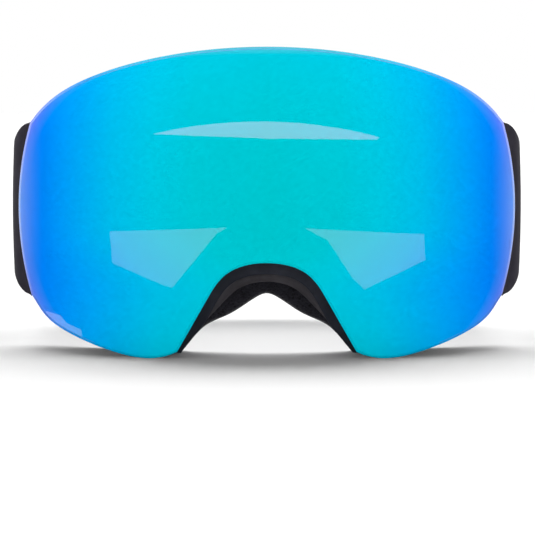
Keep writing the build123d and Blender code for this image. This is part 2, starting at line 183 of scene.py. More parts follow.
def loop(inset, nose, grow=0.0, drop=0.0, nose_drop=0.0, side=None, rising=False):
    """A closed outline round one half-ring boundary: perimeter, bottom of the lobe, nose leg and nose arch.

    Every loop has the same number of points, in step with each other, so that loops can be joined up.
    side cuts it straight at that half-width. rising rounds the bottom up towards the nose.
    """
    brow, edge, lobe = perimeter(inset)
    leg = unit(np.subtract(nose[-1], nose[-2]))
    arch = inset_spline(nose[:-1], (1, 0), leg, -grow, 20) - (0, nose_drop - drop)
    start = arch[-1]
    if rising:
        centre, radius = np.array([LOBE_X, LOBE_RADIUS]), LOBE_RADIUS - inset
        across = (start - centre) @ leg
        foot = start + leg * (sqrt(across ** 2 - (start - centre) @ (start - centre) + radius ** 2) - across)
        bottom = on_circle(centre, radius, np.linspace(-pi / 2, np.arctan2(*(foot - centre)[::-1]), 10))
    else:
        foot = start + leg * ((start[1] - inset) / -leg[1])
        bottom = np.linspace(lobe[-1], foot, 10)
    legs = np.linspace(foot, start, 14)
    half = np.concatenate([brow, edge[1:], lobe[1:], bottom[1:], legs[1:], arch[::-1][1:]])
    if side is not None:
        half[:, 0] = np.minimum(half[:, 0], side)
    half[:, 1] -= drop
    other = half[1:-1][::-1] * (-1, 1)
    return np.concatenate([half, other])


def soften(points, passes):
    """The loop with its corners rounded off."""
    for _ in range(passes):
        points = (np.roll(points, 1, 0) + 2 * points + np.roll(points, -1, 0)) / 4
    return points


# ---- curved surfaces ----
def lens_y(p, depth):
    """y of the surface parallel to the lens, this deep behind it, at the points p."""
    radius = LENS_RADIUS - LENS_RADIUS_VERTICAL + np.sqrt(
        (LENS_RADIUS_VERTICAL - depth) ** 2 - (p[:, 1] - LENS_MIDDLE_Z) ** 2)
    return LENS_RADIUS - np.sqrt(radius ** 2 - p[:, 0] ** 2)


def face_y(p, depth):
    return depth + FACE_RADIUS - np.sqrt(FACE_RADIUS ** 2 - p[:, 0] ** 2)


def on_lens(p, depth):
    return np.stack([p[:, 0], lens_y(p, depth), p[:, 1]], 1)


def on_face(p, depth):
    return np.stack([p[:, 0], face_y(p, depth), p[:, 1]], 1)


def across(outer, inner, share, offset=0.0):
    """Points between two loops: a share of the way from outer to inner, and offset millimetres further."""
    gap = inner - outer
    width = np.linalg.norm(gap, axis=1, keepdims=True)
    return outer + gap * (share + offset / np.maximum(width, 0.5))


# ---- meshes ----
def to_row(points):
    points = np.asarray(points, float) * MM
    points[:, 1] += LENS_FRONT
    return points


def from_row(vertex):
    """Where a mesh's vertex lies, in millimetres."""
    return np.asarray(vertex.co) / MM - (0, LENS_FRONT / MM, 0)


def clean(obj, sharp=40, merge=True):
    """Merges double points, turns the faces outwards, and shades smooth up to the sharp angle."""
    bm = bmesh.new()
    bm.from_mesh(obj.data)
    if merge:
        bmesh.ops.remove_doubles(bm, verts=bm.verts, dist=1e-6)
        bmesh.ops.dissolve_degenerate(bm, edges=bm.edges, dist=1e-7)
    bmesh.ops.recalc_face_normals(bm, faces=bm.faces)
    bm.to_mesh(obj.data)
    bm.free()
    obj.data.shade_smooth()
    obj.data.set_sharp_from_angle(angle=radians(sharp))
    return obj


def new_object(name, points, faces, material):
    """A mesh object from points in metres in the row frame."""
    mesh = bpy.data.meshes.new(name)
    mesh.from_pydata(np.asarray(points, float).tolist(), [], faces)
    mesh.materials.append(material)
    obj = bpy.data.objects.new(name, mesh)
    bpy.context.collection.objects.link(obj)
    return obj


def new_piece(name, points, faces, material, sharp=40):
    return clean(new_object(name, to_row(points), faces, material), sharp)


def ring_faces(rows, count, closed=True):
    """Faces of a sheet of rows that each run all the way round. closed joins the last row to the first."""
    last = rows if closed else rows - 1
    return [(r * count + i, r * count + (i + 1) % count,
             (r + 1) % rows * count + (i + 1) % count, (r + 1) % rows * count + i)
            for r in range(last) for i in range(count)]


def tube_faces(rows, count):
    """Faces of a tube of rows with both its ends closed."""
    ends = [list(range(count)), list(range((rows - 1) * count, rows * count))]
    return ring_faces(rows, count, closed=False) + ends


def ring(name, rows, material, sharp=40):
    """A closed tube-like solid through rows of points, each running round the goggles."""
    return new_piece(name, np.concatenate(rows), ring_faces(len(rows), len(rows[0])), material, sharp)


def plate(name, outline_at, profile, material, centre, steps=26, sharp=50):
    """A lens. outline_at(inset) gives its outline, and profile its edge's (inset, depth), front to back."""
    front = outline_at(profile[0][0])
    shares = [1 - (1 - k / steps) ** 1.5 for k in range(1, steps)]
    rows = [on_lens(centre + (front - centre) * s, profile[0][1]) for s in shares]
    rows += [on_lens(outline_at(inset), depth) for inset, depth in profile]
    back = outline_at(profile[-1][0])
    rows += [on_lens(centre + (back - centre) * s, profile[-1][1]) for s in shares[::-1]]
    count = len(front)
    poles = [on_lens(np.array([centre]), profile[k][1]) for k in (0, -1)]
    points = np.concatenate([*rows, *poles])
    faces = ring_faces(len(rows), count, closed=False)
    first, last = len(rows) * count, (len(rows) - 1) * count
    faces += [(i, (i + 1) % count, first) for i in range(count)]
    faces += [(last + i, last + (i + 1) % count, first + 1) for i in range(count)]
    return new_piece(name, points, faces, material, sharp)


def box_piece(name, centre, size, bevel, material, segments=3):
    """A box with rounded edges."""
    bm = bmesh.new()
    bmesh.ops.create_cube(bm, size=1.0, matrix=Matrix.Diagonal((*size, 1.0)))
    if bevel:
        bmesh.ops.bevel(bm, geom=bm.edges, offset=bevel, segments=segments, profile=0.5, affect="EDGES")
    points = [tuple(Vector(centre) + v.co) for v in bm.verts]
    faces = [[v.index for v in f.verts] for f in bm.faces]
    bm.free()
    return new_piece(name, points, faces, material)


def turned(name, half_profile, side, material, sharp=40):
    """A turned piece on the hinge's line. half_profile is its upper half, as (radius, height)."""
    turns = np.linspace(0, 2 * pi, 48, endpoint=False)
    profile = [(radius, SIDE_MIDDLE_Z - z) for radius, z in half_profile[::-1]]
    profile += [(radius, SIDE_MIDDLE_Z + z) for radius, z in half_profile]
    rows = [np.column_stack([on_circle((side * HINGE_X, HINGE_Y), radius, turns), np.full(len(turns), z)])
            for radius, z in profile]
    return new_piece(name, np.concatenate(rows), ring_faces(len(rows), len(turns)), material, sharp)


def prism(name, outline, low, high, material, axis="z"):
    """A straight-sided piece from a closed outline of (x, y), or of (y, z) along x."""
    outline = np.asarray(outline, float)
    count = len(outline)
    if axis == "z":
        rows = [np.column_stack([outline, np.full(count, h)]) for h in (low, high)]
    else:
        rows = [np.column_stack([np.full(count, h), outline]) for h in (low, high)]
    return new_piece(name, np.concatenate(rows), tube_faces(2, count), material)


def rounded_box_outline(width, height, radius, x=0.0, y=0.0, steps=6):
    """A rectangle with round corners, as points anticlockwise from the lower right."""
    points = []
    for turn, (sx, sy) in enumerate(((1, -1), (1, 1), (-1, 1), (-1, -1))):
        for k in range(steps + 1):
            angle = (turn - 1) * pi / 2 + k / steps * pi / 2
            points.append((x + sx * (width / 2 - radius) + radius * cos(angle),
                           y + sy * (height / 2 - radius) + radius * sin(angle)))
    return points


def apply_modifiers(obj):
    graph = bpy.context.evaluated_depsgraph_get()
    mesh = bpy.data.meshes.new_from_object(obj.evaluated_get(graph))
    obj.modifiers.clear()
    obj.data = mesh
    return clean(obj)


def combine(obj, other, operation="UNION"):
    """Joins another piece to obj, or cuts it away, and removes it."""
    modifier = obj.modifiers.new("combine", "BOOLEAN")
    modifier.operation, modifier.object, modifier.solver = operation, other, "EXACT"
    apply_modifiers(obj)
    bpy.data.objects.remove(other)


def join(obj, others):
    """Puts the other pieces' meshes into obj, with their materials."""
    bm = bmesh.new()
    bm.from_mesh(obj.data)
    for other in others:
        for material in other.data.materials:
            if material.name not in obj.data.materials:
                obj.data.materials.append(material)
        index = obj.data.materials.find(other.data.materials[0].name)
        before = len(bm.faces)
        bm.from_mesh(other.data)
        bm.faces.ensure_lookup_table()
        for face in bm.faces[before:]:
            face.material_index = index
    bm.to_mesh(obj.data)
    bm.free()
    for other in others:
        bpy.data.objects.remove(other)
    return obj


# ---- materials ----
class Nodes:
    """The nodes of a material or of the world, and the plain sums that they do."""

    def __init__(self, tree):
        self.nodes, self.links = tree.nodes, tree.links

    def link(self, source, target):
        self.links.new(source, target)

    def axes(self, vector):
        """The X, Y and Z of a vector."""
        node = self.nodes.new("ShaderNodeSeparateXYZ")
        self.link(vector, node.inputs["Vector"])
        return node.outputs

    def math(self, operation, a, b=None, c=None, clamp=False):
        node = self.nodes.new("ShaderNodeMath")
        node.operation, node.use_clamp = operation, clamp
        for socket, value in zip(node.inputs, (a, b, c)):
            if value is None:
                continue
            if isinstance(value, (int, float)):
                socket.default_value = value
            else:
                self.link(value, socket)
        return node.outputs["Value"]

    def ease(self, value, low, high):
        """Rises smoothly from 0 to 1 as the value goes from low to high."""
        node = self.nodes.new("ShaderNodeMapRange")
        node.interpolation_type = "SMOOTHSTEP"
        node.inputs["From Min"].default_value, node.inputs["From Max"].default_value = low, high
        self.link(value, node.inputs["Value"])
        return node.outputs["Result"]

    def choose(self, share, a, b):
        """The number a, or b where share is 1."""
        node = self.nodes.new("ShaderNodeMix")
        node.data_type = "FLOAT"
        self.link(share, node.inputs["Factor"])
        self.link(a, node.inputs["A"])
        node.inputs["B"].default_value = b
        return node.outputs["Result"]


class Look(Nodes):
    """A Principled material and the nodes that feed it."""

    def __init__(self, name, colour, roughness, **values):
        self.material = bpy.data.materials.new(name)
        self.material.use_nodes = True
        super().__init__(self.material.node_tree)
        self.shader = self.nodes["Principled BSDF"]
        self.shader.inputs["Base Color"].default_value = (*colour, 1)
        self.shader.inputs["Roughness"].default_value = roughness
        for key, value in values.items():
            self.shader.inputs[key.replace("_", " ")].default_value = value
        self.place = self.nodes.new("ShaderNodeTexCoord").outputs["Object"]

    def noise(self, size, detail=3.0, roughness=0.55, stretch=None, place=None):
        """A noise value whose blotches are about size millimetres across."""
        node = self.nodes.new("ShaderNodeTexNoise")
        node.inputs["Scale"].default_value = 1 / (size * MM)
        node.inputs["Detail"].default_value = detail
        node.inputs["Roughness"].default_value = roughness
        place = place or self.place
        if stretch:
            mapping = self.nodes.new("ShaderNodeMapping")
            mapping.inputs["Scale"].default_value = stretch
            self.link(place, mapping.inputs["Vector"])
            place = mapping.outputs["Vector"]
        self.link(place, node.inputs["Vector"])
        return node.outputs["Fac"]

    def cells(self, size):
        """The distance to the middle of the nearest cell, for cells of about size millimetres."""
        node = self.nodes.new("ShaderNodeTexVoronoi")
        node.inputs["Scale"].default_value = 1 / (size * MM)
        self.link(self.place, node.inputs["Vector"])
        return node.outputs["Distance"]

    def ramp(self, value, stops, smooth=False):
        """A colour or grey for each value: stops is a list of (value, colour or grey)."""
        node = self.nodes.new("ShaderNodeValToRGB")
        node.color_ramp.interpolation = "EASE" if smooth else "LINEAR"
        elements = node.color_ramp.elements
        while len(elements) < len(stops):
            elements.new(0.5)
        for element, (at, _) in zip(elements, stops):
            element.position = at
        for element, (_, colour) in zip(elements, stops):
            grey = isinstance(colour, (int, float))
            element.color = (colour, colour, colour, 1) if grey else (*colour, 1)
        self.link(value, node.inputs["Fac"])
        return node.outputs["Color"]

    def mix(self, share, a, b, blend="MIX"):
        node = self.nodes.new("ShaderNodeMix")
        node.data_type, node.blend_type = "RGBA", blend
        for key, value in (("Factor_Float", share), ("A_Color", a), ("B_Color", b)):
            socket = next(s for s in node.inputs if s.identifier == key)
            if isinstance(value, (int, float)):
                socket.default_value = value
            elif isinstance(value, tuple):
                socket.default_value = (*value, 1)
            else:
                self.link(value, socket)
        return next(s for s in node.outputs if s.identifier == "Result_Color")

    def colour(self, source):
        self.link(source, self.shader.inputs["Base Color"])

    def rough(self, value, low, high):
        node = self.nodes.new("ShaderNodeMapRange")
        node.inputs["To Min"].default_value, node.inputs["To Max"].default_value = low, high
        self.link(value, node.inputs["Value"])
        self.link(node.outputs["Result"], self.shader.inputs["Roughness"])

    def bump(self, height, depth):
        """Raises the surface by up to depth millimetres."""
        node = self.nodes.new("ShaderNodeBump")
        node.inputs["Strength"].default_value = 1.0
        node.inputs["Distance"].default_value = depth * MM
        self.link(height, node.inputs["Height"])
        previous = self.shader.inputs["Normal"].links
        if previous:
            self.link(previous[0].from_socket, node.inputs["Normal"])
        self.link(node.outputs["Normal"], self.shader.inputs["Normal"])


def moulded(name, colour, roughness, grain=0.35, depth=0.02, **values):
    """Moulded plastic: a fine spark-eroded grain, faint blotches in its gloss and scuffed patches."""
    look = Look(name, colour, roughness, **values)
    scuff = look.noise(9.0, detail=6.0, roughness=0.7)
    wear = look.ramp(scuff, [(0.45, 0.0), (0.75, 1.0)])
    lighter = tuple(min(1.0, c * 1.5 + 0.004) for c in colour)
    look.colour(look.mix(wear, colour, lighter))
    look.rough(scuff, roughness - 0.1, roughness + 0.14)
    look.bump(look.noise(grain, detail=2.0), depth)
    return look.material


# The mirror coating's reflection painted on as colours in linear light, at shares of its half-width: how its
# tint shifts with the viewing angle, as seen from the front
LENS_REFLECTION_BANDS = [
    (0.0, (0.0, 0.580, 0.638)), (0.28, (0.0, 0.594, 0.688)), (0.44, (0.0, 0.594, 0.777)),
    (0.60, (0.0, 0.531, 0.857)), (0.70, (0.0, 0.438, 0.911)), (0.79, (0.0, 0.357, 0.982)),
    (0.87, (0.0, 0.272, 0.990)), (0.92, (0.0, 0.223, 0.980)), (0.955, (0.005, 0.198, 0.900)),
    (0.98, (0.015, 0.207, 0.850)), (1.0, (0.030, 0.250, 0.820)),
]
# Bluer towards the top and bottom: more of the painted reflection's shift with the viewing angle.
BLUER_AWAY, GREENER_BELOW_PAINTED_LIGHT = (1.0, 1.06, 1.22), (1.0, 1.25, 0.93)
# The red that the rim adds, a painted reflection of the coating turning violet where it is seen at a grazing
# angle, at shares of the way out to it, and how square the lines of equal share are
VIOLET_RIM_PAINTED_REFLECTION = [(0.84, (0.0, 0.0, 0.0)), (0.92, (0.05, 0.0, 0.0)), (1.0, (0.13, 0.0, 0.0))]
RIM_SQUARENESS = 2.75


def mirror_lens():
    """The mirror coating as a painted reflection: bands of colour that follow the lens's curve, from cyan to
    violet-blue, paint how its tint shifts with the viewing angle as seen from the front, with a violet rim at
    grazing angles; its bottom is painted lighter as painted light.
    """
    look = Look("lens_mirror", (0.0, 0.56, 0.7), 0.6, Specular_IOR_Level=0.0,
                Coat_Weight=1.0, Coat_Roughness=0.01, Coat_IOR=1.5)
    x, _, z = look.axes(look.place)
    out = look.math("DIVIDE", look.math("ABSOLUTE", x), LENS_HALF_WIDTH * MM)
    rise = look.math("DIVIDE", look.math("SUBTRACT", z, LENS_MIDDLE_Z * MM), LENS_MIDDLE_Z * MM)
    lift = look.math("MAXIMUM", rise, 0.0)
    drop = look.math("MAXIMUM", look.math("MULTIPLY", rise, -1.0), 0.0)
    bend = look.ramp(drop, [(0.1, 0.0), (0.6, 0.3)], smooth=True)
    share = look.math("MULTIPLY_ADD", look.math("SUBTRACT", 1.0, out), bend, out, clamp=True)
    height = look.math("POWER", look.math("ABSOLUTE", rise), 2.0)
    bands = look.mix(height, look.ramp(share, LENS_REFLECTION_BANDS), BLUER_AWAY, "MULTIPLY")
    # Lighter and greener towards the bottom: painted light that makes up for the dimmer bounce from the
    # shadowed floor in front.
    bands = look.mix(look.math("POWER", drop, 2.0), bands, GREENER_BELOW_PAINTED_LIGHT, "MULTIPLY")
    away = look.math("MULTIPLY_ADD", drop, 0.8, lift)
    sideways, upright = (look.math("POWER", share_out, RIM_SQUARENESS) for share_out in (out, away))
    rim = look.math("ADD", sideways, upright, clamp=True)
    bands = look.mix(look.math("MULTIPLY", away, 1.9, clamp=True), bands, look.ramp(rim, VIOLET_RIM_PAINTED_REFLECTION), "ADD")
    haze = look.ramp(look.noise(30.0, detail=2.0), [(0.3, 0.985), (0.7, 1.0)])
    look.colour(look.mix(1.0, bands, haze, "MULTIPLY"))
    return look.material


def lens_back():
    """The dark inside of the outer lens."""
    look = Look("lens_inside", (0.012, 0.020, 0.034), 0.12, Coat_Weight=0.6, Coat_Roughness=0.03)
    look.rough(look.noise(20.0, detail=4.0), 0.04, 0.1)
    look.colour(look.ramp(look.noise(40.0), [(0.3, (0.010, 0.017, 0.030)), (0.7, (0.014, 0.024, 0.040))]))
    return look.material


def polished(name, colour, roughness, gloss, relief, stretch=None, **values):
    """A smooth finish. gloss is its blotches' size and roughness range, relief its bumps' size and depth."""
    look = Look(name, colour, roughness, **values)
    look.rough(look.noise(gloss[0]), *gloss[1:])
    look.bump(look.noise(relief[0], stretch=stretch), relief[1])
    return look.material


def clear_plastic():
    look = Look("inner_lens", (0.93, 0.96, 0.97), 0.03, Transmission_Weight=1.0, IOR=1.49)
    look.rough(look.noise(25.0, detail=5.0), 0.0, 0.02)
    return look.material


def foam(name, colour, pore, depth):
    """Open-cell foam: pores of two sizes between lighter cell walls, the pores darkened as painted shade in
    the holes.
    """
    look = Look(name, colour, 0.95, Specular_IOR_Level=0.15, Sheen_Weight=0.12, Sheen_Roughness=0.6)
    cells, holes = look.cells(pore), look.cells(pore * 2.7)
    height = look.math("ADD", cells, look.math("MULTIPLY", holes, 0.7))
    walls = look.ramp(height, [(0.15, 0.0), (0.85, 1.0)])
    dark, light = tuple(c * 0.3 for c in colour), tuple(c * 2.4 for c in colour)
    shade = look.mix(walls, dark, light)
    blotch = look.ramp(look.noise(6.0, detail=4.0), [(0.3, 0.8), (0.7, 1.15)])
    look.colour(look.mix(1.0, shade, blotch, "MULTIPLY"))
    look.bump(height, depth)
    return look.material


def fleece():
    """Brushed fleece: a short nap that lies in soft tufts."""
    look = Look("face_fleece", (0.028, 0.028, 0.032), 1.0, Specular_IOR_Level=0.1, Sheen_Weight=0.7,
                Sheen_Roughness=0.45, Sheen_Tint=(0.5, 0.5, 0.55, 1))
    tufts = look.noise(1.6, detail=5.0, roughness=0.7)
    nap = look.noise(0.25, detail=3.0, roughness=0.8)
    # The nap's tone follows the tufts: lighter on the raised tufts and darker where they lie low, painted
    # shade between them.
    look.colour(look.ramp(tufts, [(0.3, (0.013, 0.013, 0.016)), (0.7, (0.042, 0.042, 0.048))]))
    look.bump(tufts, 0.35)
    look.bump(nap, 0.18)
    return look.material


def metal(name, colour, roughness):
    """Turned or plated metal with faint streaks."""
    look = Look(name, colour, roughness, Metallic=1.0)
    streaks = look.noise(2.0, detail=4.0, stretch=(12, 12, 0.6))
    look.rough(streaks, roughness - 0.08, roughness + 0.14)
    look.colour(look.ramp(streaks, [(0.3, tuple(c * 0.8 for c in colour)), (0.7, colour)]))
    look.bump(streaks, 0.01)
    return look.material


RIB, PICK = 2.6, 2.0                          # the weave's repeat across the strap and along it


def webbing():
    """Woven elastic: ribs along the strap, crossed by picks that go over and under them in turn."""
    look = Look("strap_webbing", (0.02, 0.02, 0.023), 0.8, Specular_IOR_Level=0.25, Sheen_Weight=0.35,
                Sheen_Roughness=0.4, Sheen_Tint=(0.6, 0.6, 0.65, 1))
    strip_map = look.nodes.new("ShaderNodeUVMap")
    strip_map.uv_map = "strip"
    place = strip_map.outputs["UV"]
    along, over, _ = look.axes(place)
    ribs = look.math("SINE", look.math("MULTIPLY", over, 2 * pi / (RIB * MM)))
    turn = look.math("MULTIPLY", look.math("SIGN", ribs), pi / 2)
    picks = look.math("SINE", look.math("ADD", look.math("MULTIPLY", along, 2 * pi / (PICK * MM)), turn))
    knots = look.math("MULTIPLY", look.math("ABSOLUTE", ribs), look.math("MULTIPLY_ADD", picks, 0.35, 0.65))
    edge = look.math("MULTIPLY", look.math("ABSOLUTE", over), 1 / (STRAP_WIDTH / 2 * MM))
    groove = look.ramp(edge, [(0.0, 1.0), (0.855, 1.0), (0.87, 0.0), (0.89, 0.0), (0.905, 1.0), (1.0, 1.0)])
    height = look.math("MULTIPLY", knots, groove)
    fuzz = look.noise(0.35, place=place)
    # The yarn's tone follows its fuzz, and is darkened in the weave's hollows and in the groove by the
    # selvedge: painted shade.
    yarn_and_weave_shade = look.ramp(look.math("ADD", look.math("MULTIPLY", height, 0.7), look.math("MULTIPLY", fuzz, 0.3)),
                     [(0.05, (0.006, 0.006, 0.008)), (0.5, (0.020, 0.020, 0.024)),
                      (0.9, (0.062, 0.062, 0.070))])
    worn = look.ramp(look.noise(14.0, detail=4.0, place=place), [(0.35, 0.85), (0.7, 1.2)])
    look.colour(look.mix(1.0, yarn_and_weave_shade, worn, "MULTIPLY"))
    look.bump(height, 0.3)
    look.bump(fuzz, 0.06)
    return look.material


def thread():
    look = Look("strap_thread", (0.05, 0.05, 0.056), 0.6, Sheen_Weight=0.3)
    look.bump(look.noise(0.3, stretch=(1, 4, 1)), 0.06)
    look.colour(look.ramp(look.noise(0.6), [(0.3, (0.035, 0.035, 0.04)), (0.7, (0.07, 0.07, 0.078))]))
    return look.material


LENS_MIRROR = mirror_lens()
LENS_INSIDE = lens_back()
LENS_EDGE = polished("lens_edge", (0.02, 0.12, 0.42), 0.18, (4.0, 0.12, 0.26), (0.5, 0.01),
                     stretch=(0.2, 1, 0.2), Coat_Weight=0.5, Coat_Roughness=0.05)
# A painted highlight: the narrow line where the front of the lens turns into its bevel, painted pale as if it
# caught the light
LENS_BEVEL_HIGHLIGHT = polished("lens_bevel_highlight", (0.12, 0.38, 0.90), 0.15, (3.0, 0.1, 0.2), (0.6, 0.01),
                      Specular_IOR_Level=0.8, Coat_Weight=1.0, Coat_Roughness=0.02)
CLEAR = clear_plastic()
CARRIER_PLASTIC = moulded("carrier_plastic", (0.017, 0.020, 0.028), 0.45, Specular_IOR_Level=0.35)
CHASSIS_PLASTIC = moulded("chassis_plastic", (0.019, 0.022, 0.032), 0.42, Specular_IOR_Level=0.35)
FRAME_PLASTIC = moulded("frame_plastic", (0.082, 0.077, 0.088), 0.62, grain=0.5, depth=0.035,
                        Specular_IOR_Level=0.3)
ARM_PLASTIC = moulded("arm_plastic", (0.026, 0.0235, 0.033), 0.6, grain=0.4, depth=0.03,
                      Specular_IOR_Level=0.06)
SLIDER_PLASTIC = moulded("slider_plastic", (0.016, 0.016, 0.019), 0.38, Specular_IOR_Level=0.4)
KEEPER_RUBBER = moulded("keeper_rubber", (0.014, 0.014, 0.016), 0.7, grain=0.3, depth=0.03,
                        Specular_IOR_Level=0.25)
GASKET_FOAM = foam("gasket_foam", (0.022, 0.022, 0.025), 0.25, 0.08)
VENT_FOAM = foam("vent_foam", (0.016, 0.016, 0.018), 0.7, 0.5)
BASE_FOAM = foam("face_foam", (0.012, 0.012, 0.016), 0.9, 0.5)
LIGHT_FOAM = foam("face_foam_light", (0.034, 0.034, 0.039), 0.7, 0.45)
FLEECE = fleece()
STEEL = metal("pin_steel", (0.56, 0.56, 0.58), 0.3)
NICKEL = metal("magnet", (0.66, 0.64, 0.60), 0.22)
SILICONE = polished("grip_silicone", (0.03, 0.22, 0.36), 0.35, (3.0, 0.28, 0.45), (0.8, 0.04),
                    Coat_Weight=0.5, Coat_Roughness=0.15, Subsurface_Weight=0.1, Subsurface_Scale=0.001)
WEBBING = webbing()
THREAD = thread()


def settle(piece, body, slot, *nodes):
    """The piece rides on the body and stands for the CAD nodes, which it hides; slot is not used."""
    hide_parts(*nodes)
    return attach(piece, body)


# ---- lens assembly ----
# The outer lens's edge, from its front round the bevel to its back: how far in, and how deep
EDGE_PROFILE = [(0.95, 0.0), (0.87, 0.012), (0.78, 0.08), (0.45, 0.30), (0.15, 0.48), (0.04, 0.62),
                (0.0, 0.8), (0.0, 1.3), (0.08, 1.55), (0.3, 1.74), (0.6, OUTER_LENS_BACK)]
LENS_CENTRE = np.array([0.0, 80.0])


def outer_lens():
    def outline_at(inset):
        return loop(inset, LENS_NOSE, grow=inset, rising=True)

    piece = plate("lens_outer", outline_at, EDGE_PROFILE, LENS_MIRROR, LENS_CENTRE)
    for material in (LENS_BEVEL_HIGHLIGHT, LENS_EDGE, LENS_INSIDE):
        piece.data.materials.append(material)
    mirror, bevel, edge, inside = range(4)    # the bevel's painted highlight line shows only above and below the arms
    depths = [lens_depth(*from_row(v)) for v in piece.data.vertices]
    for face in piece.data.polygons:
        corners = [depths[v] for v in face.vertices]
        x, z = abs(face.center.x) / MM, face.center.z / MM
        away_from_arms = z > 84 or (z < 22 and x > 62)
        if 0.01 < max(corners) < 0.1 and away_from_arms:
            face.material_index = bevel
        elif max(corners) < 0.7:
            face.material_index = mirror
        else:
            face.material_index = inside if min(corners) > 1.7 else edge
    polish(piece, 0.0, OUTER_LENS_BACK)
    piece.visible_diffuse = False
    settle(piece, "lens", "lens_mirror", "outer_lens")


def lens_depth(x, y, z):
    """How deep a point lies behind the front of the lens."""
    ahead = LENS_RADIUS - LENS_RADIUS_VERTICAL - sqrt(x ** 2 + (LENS_RADIUS - y) ** 2)
    return LENS_RADIUS_VERTICAL - sqrt(ahead ** 2 + (z - LENS_MIDDLE_Z) ** 2)


def lens_normal(x, z, depth=0.0):
    """The way the curve of the lens faces at (x, z)."""
    rise = asin((z - LENS_MIDDLE_Z) / (LENS_RADIUS_VERTICAL - depth))
    turn = asin(x / (LENS_RADIUS - depth))
    return np.array([sin(turn) * cos(rise), -cos(turn) * cos(rise), sin(rise)])


def polish(piece, *depths):
    """Gives a lens's curved sides, at these depths, smooth normals, so that its reflections run true."""
    normals = []
    for vertex in piece.data.vertices:
        x, y, z = from_row(vertex)
        off, depth = min((abs(lens_y(np.array([(x, z)]), depth)[0] - y), depth) for depth in depths)
        normal = lens_normal(x, z, depth)
        if off > 0.01:
            normal = vertex.normal
        elif normal @ np.asarray(vertex.normal) < 0:
            normal = -normal
        normals.append(tuple(normal))
    piece.data.normals_split_custom_set_from_vertices(normals)


def inner_lens():
    def outline_at(inset):
        return loop(8.0 + inset, LENS_NOSE, grow=7.2 + inset, side=FRAME_SIDE - 8.0 - inset)

    profile = [(0.25, CARRIER_BACK), (0.07, 4.67), (0.0, 4.85), (0.0, 5.35), (0.07, 5.53),
               (0.25, INNER_LENS_BACK)]
    piece = plate("lens_inner", outline_at, profile, CLEAR, LENS_CENTRE)
    polish(piece, CARRIER_BACK, INNER_LENS_BACK)
    settle(piece, "lens", "inner_lens", "inner_lens")


def section_marks(side, crown=()):
    """Marks round a ring's section: back along its outer side, over the crown, forwards along the inner."""
    outer = [(0, offset, depth) for offset, depth in side]
    return outer + list(crown) + [(1, -offset, depth) for offset, depth in side[::-1]]


def square_ring(outer, inner, front, back, radius):
    """Rows of a ring with a rectangular section and rounded edges."""
    corner = radius * (1 - sqrt(0.5))
    side = [(radius, front), (corner, front + corner), (0, front + radius), (0, back - radius),
            (corner, back - corner), (radius, back)]
    marks = section_marks(side)
    return [on_lens(across(outer, inner, share, offset), depth) for share, offset, depth in marks]


MAGNET_PLACES = [(26.0, 104.9, -7), (62.0, 95.9, -26), (82.4, 57.0, 90), (62.0, 8.9, 20)]
PEG_PLACES = [(45.0, 101.4), (82.4, 40.0)]


def both_sides(places):
    """Each place on the left and on the right. A turn, where it has one, is mirrored too."""
    for x, z, *turn in places:
        for side in SIDES.values():
            yield side * x, z, *(side * t for t in turn)


def curved_block(outline, front, back, inset=0.25):
    """Rows of a small block that lies along the lens's curve, with softened edges."""
    middle = outline.mean(0)
    smaller = middle + (outline - middle) * (1 - inset / 2.5)
    marks = [(smaller, front), (outline, front + inset), (outline, back - inset), (smaller, back)]
    return [on_lens(p, depth) for p, depth in marks]


def magnets(name, front, back, body, node):
    blocks = []
    for x, z, turn in both_sides(MAGNET_PLACES):
        c, s = cos(radians(turn)), sin(radians(turn))
        outline = np.array(rounded_box_outline(10.0, 4.0, 0.8)) @ np.array([[c, s], [-s, c]]) + (x, z)
        rows = curved_block(outline, front, back)
        faces = tube_faces(len(rows), len(outline))
        blocks.append(new_piece(f"{name}_{len(blocks)}", np.concatenate(rows), faces, NICKEL))
    piece = join(blocks[0], blocks[1:])
    piece.name = name
    settle(piece, body, "magnet", node)


def peg(x, z, radius, front, back, name, material):
    """A round peg or cutter that stands along y."""
    flat = on_circle((x, z), radius, np.linspace(0, 2 * pi, 24, endpoint=False))
    tip = (flat - (x, z)) * 0.75 + (x, z)
    rows = [on_lens(flat, front), on_lens(flat, back - 0.4), on_lens(tip, back)]
    return new_piece(name, np.concatenate(rows), tube_faces(3, len(flat)), material)


def lens_carrier():
    outer = loop(1.6, LENS_NOSE, grow=1.2, side=FRAME_SIDE - 1.6, rising=True)
    inner = loop(7.8, LENS_NOSE, grow=7.0, side=FRAME_SIDE - 7.8)
    piece = ring("lens_carrier_ring", square_ring(outer, inner, OUTER_LENS_BACK, CARRIER_BACK, 0.35),
                 CARRIER_PLASTIC)
    for x, z in both_sides(PEG_PLACES):
        combine(piece, peg(x, z, 1.1, CARRIER_BACK - 1, CARRIER_BACK + 3.0, "peg", CARRIER_PLASTIC))
    settle(piece, "lens", "carrier_plastic", "lens_carrier")


def lens_gasket():
    outer = loop(7.8, LENS_NOSE, grow=7.0, side=FRAME_SIDE - 7.8)
    inner = loop(11.6, LENS_NOSE, grow=10.8, side=FRAME_SIDE - 11.6)
    front, back = OUTER_LENS_BACK, CARRIER_BACK
    marks = [(0, 0, front), (0, 0, back), (1, -0.5, back), (1, -0.1, back - 0.5),
             (1, 0.2, (front + back) / 2), (1, -0.1, front + 0.5), (1, -0.5, front)]
    rows = [on_lens(across(outer, inner, share, offset), depth) for share, offset, depth in marks]
    piece = ring("lens_gasket_foam", rows, GASKET_FOAM)
    settle(piece, "lens", "gasket_foam", "lens_gasket")


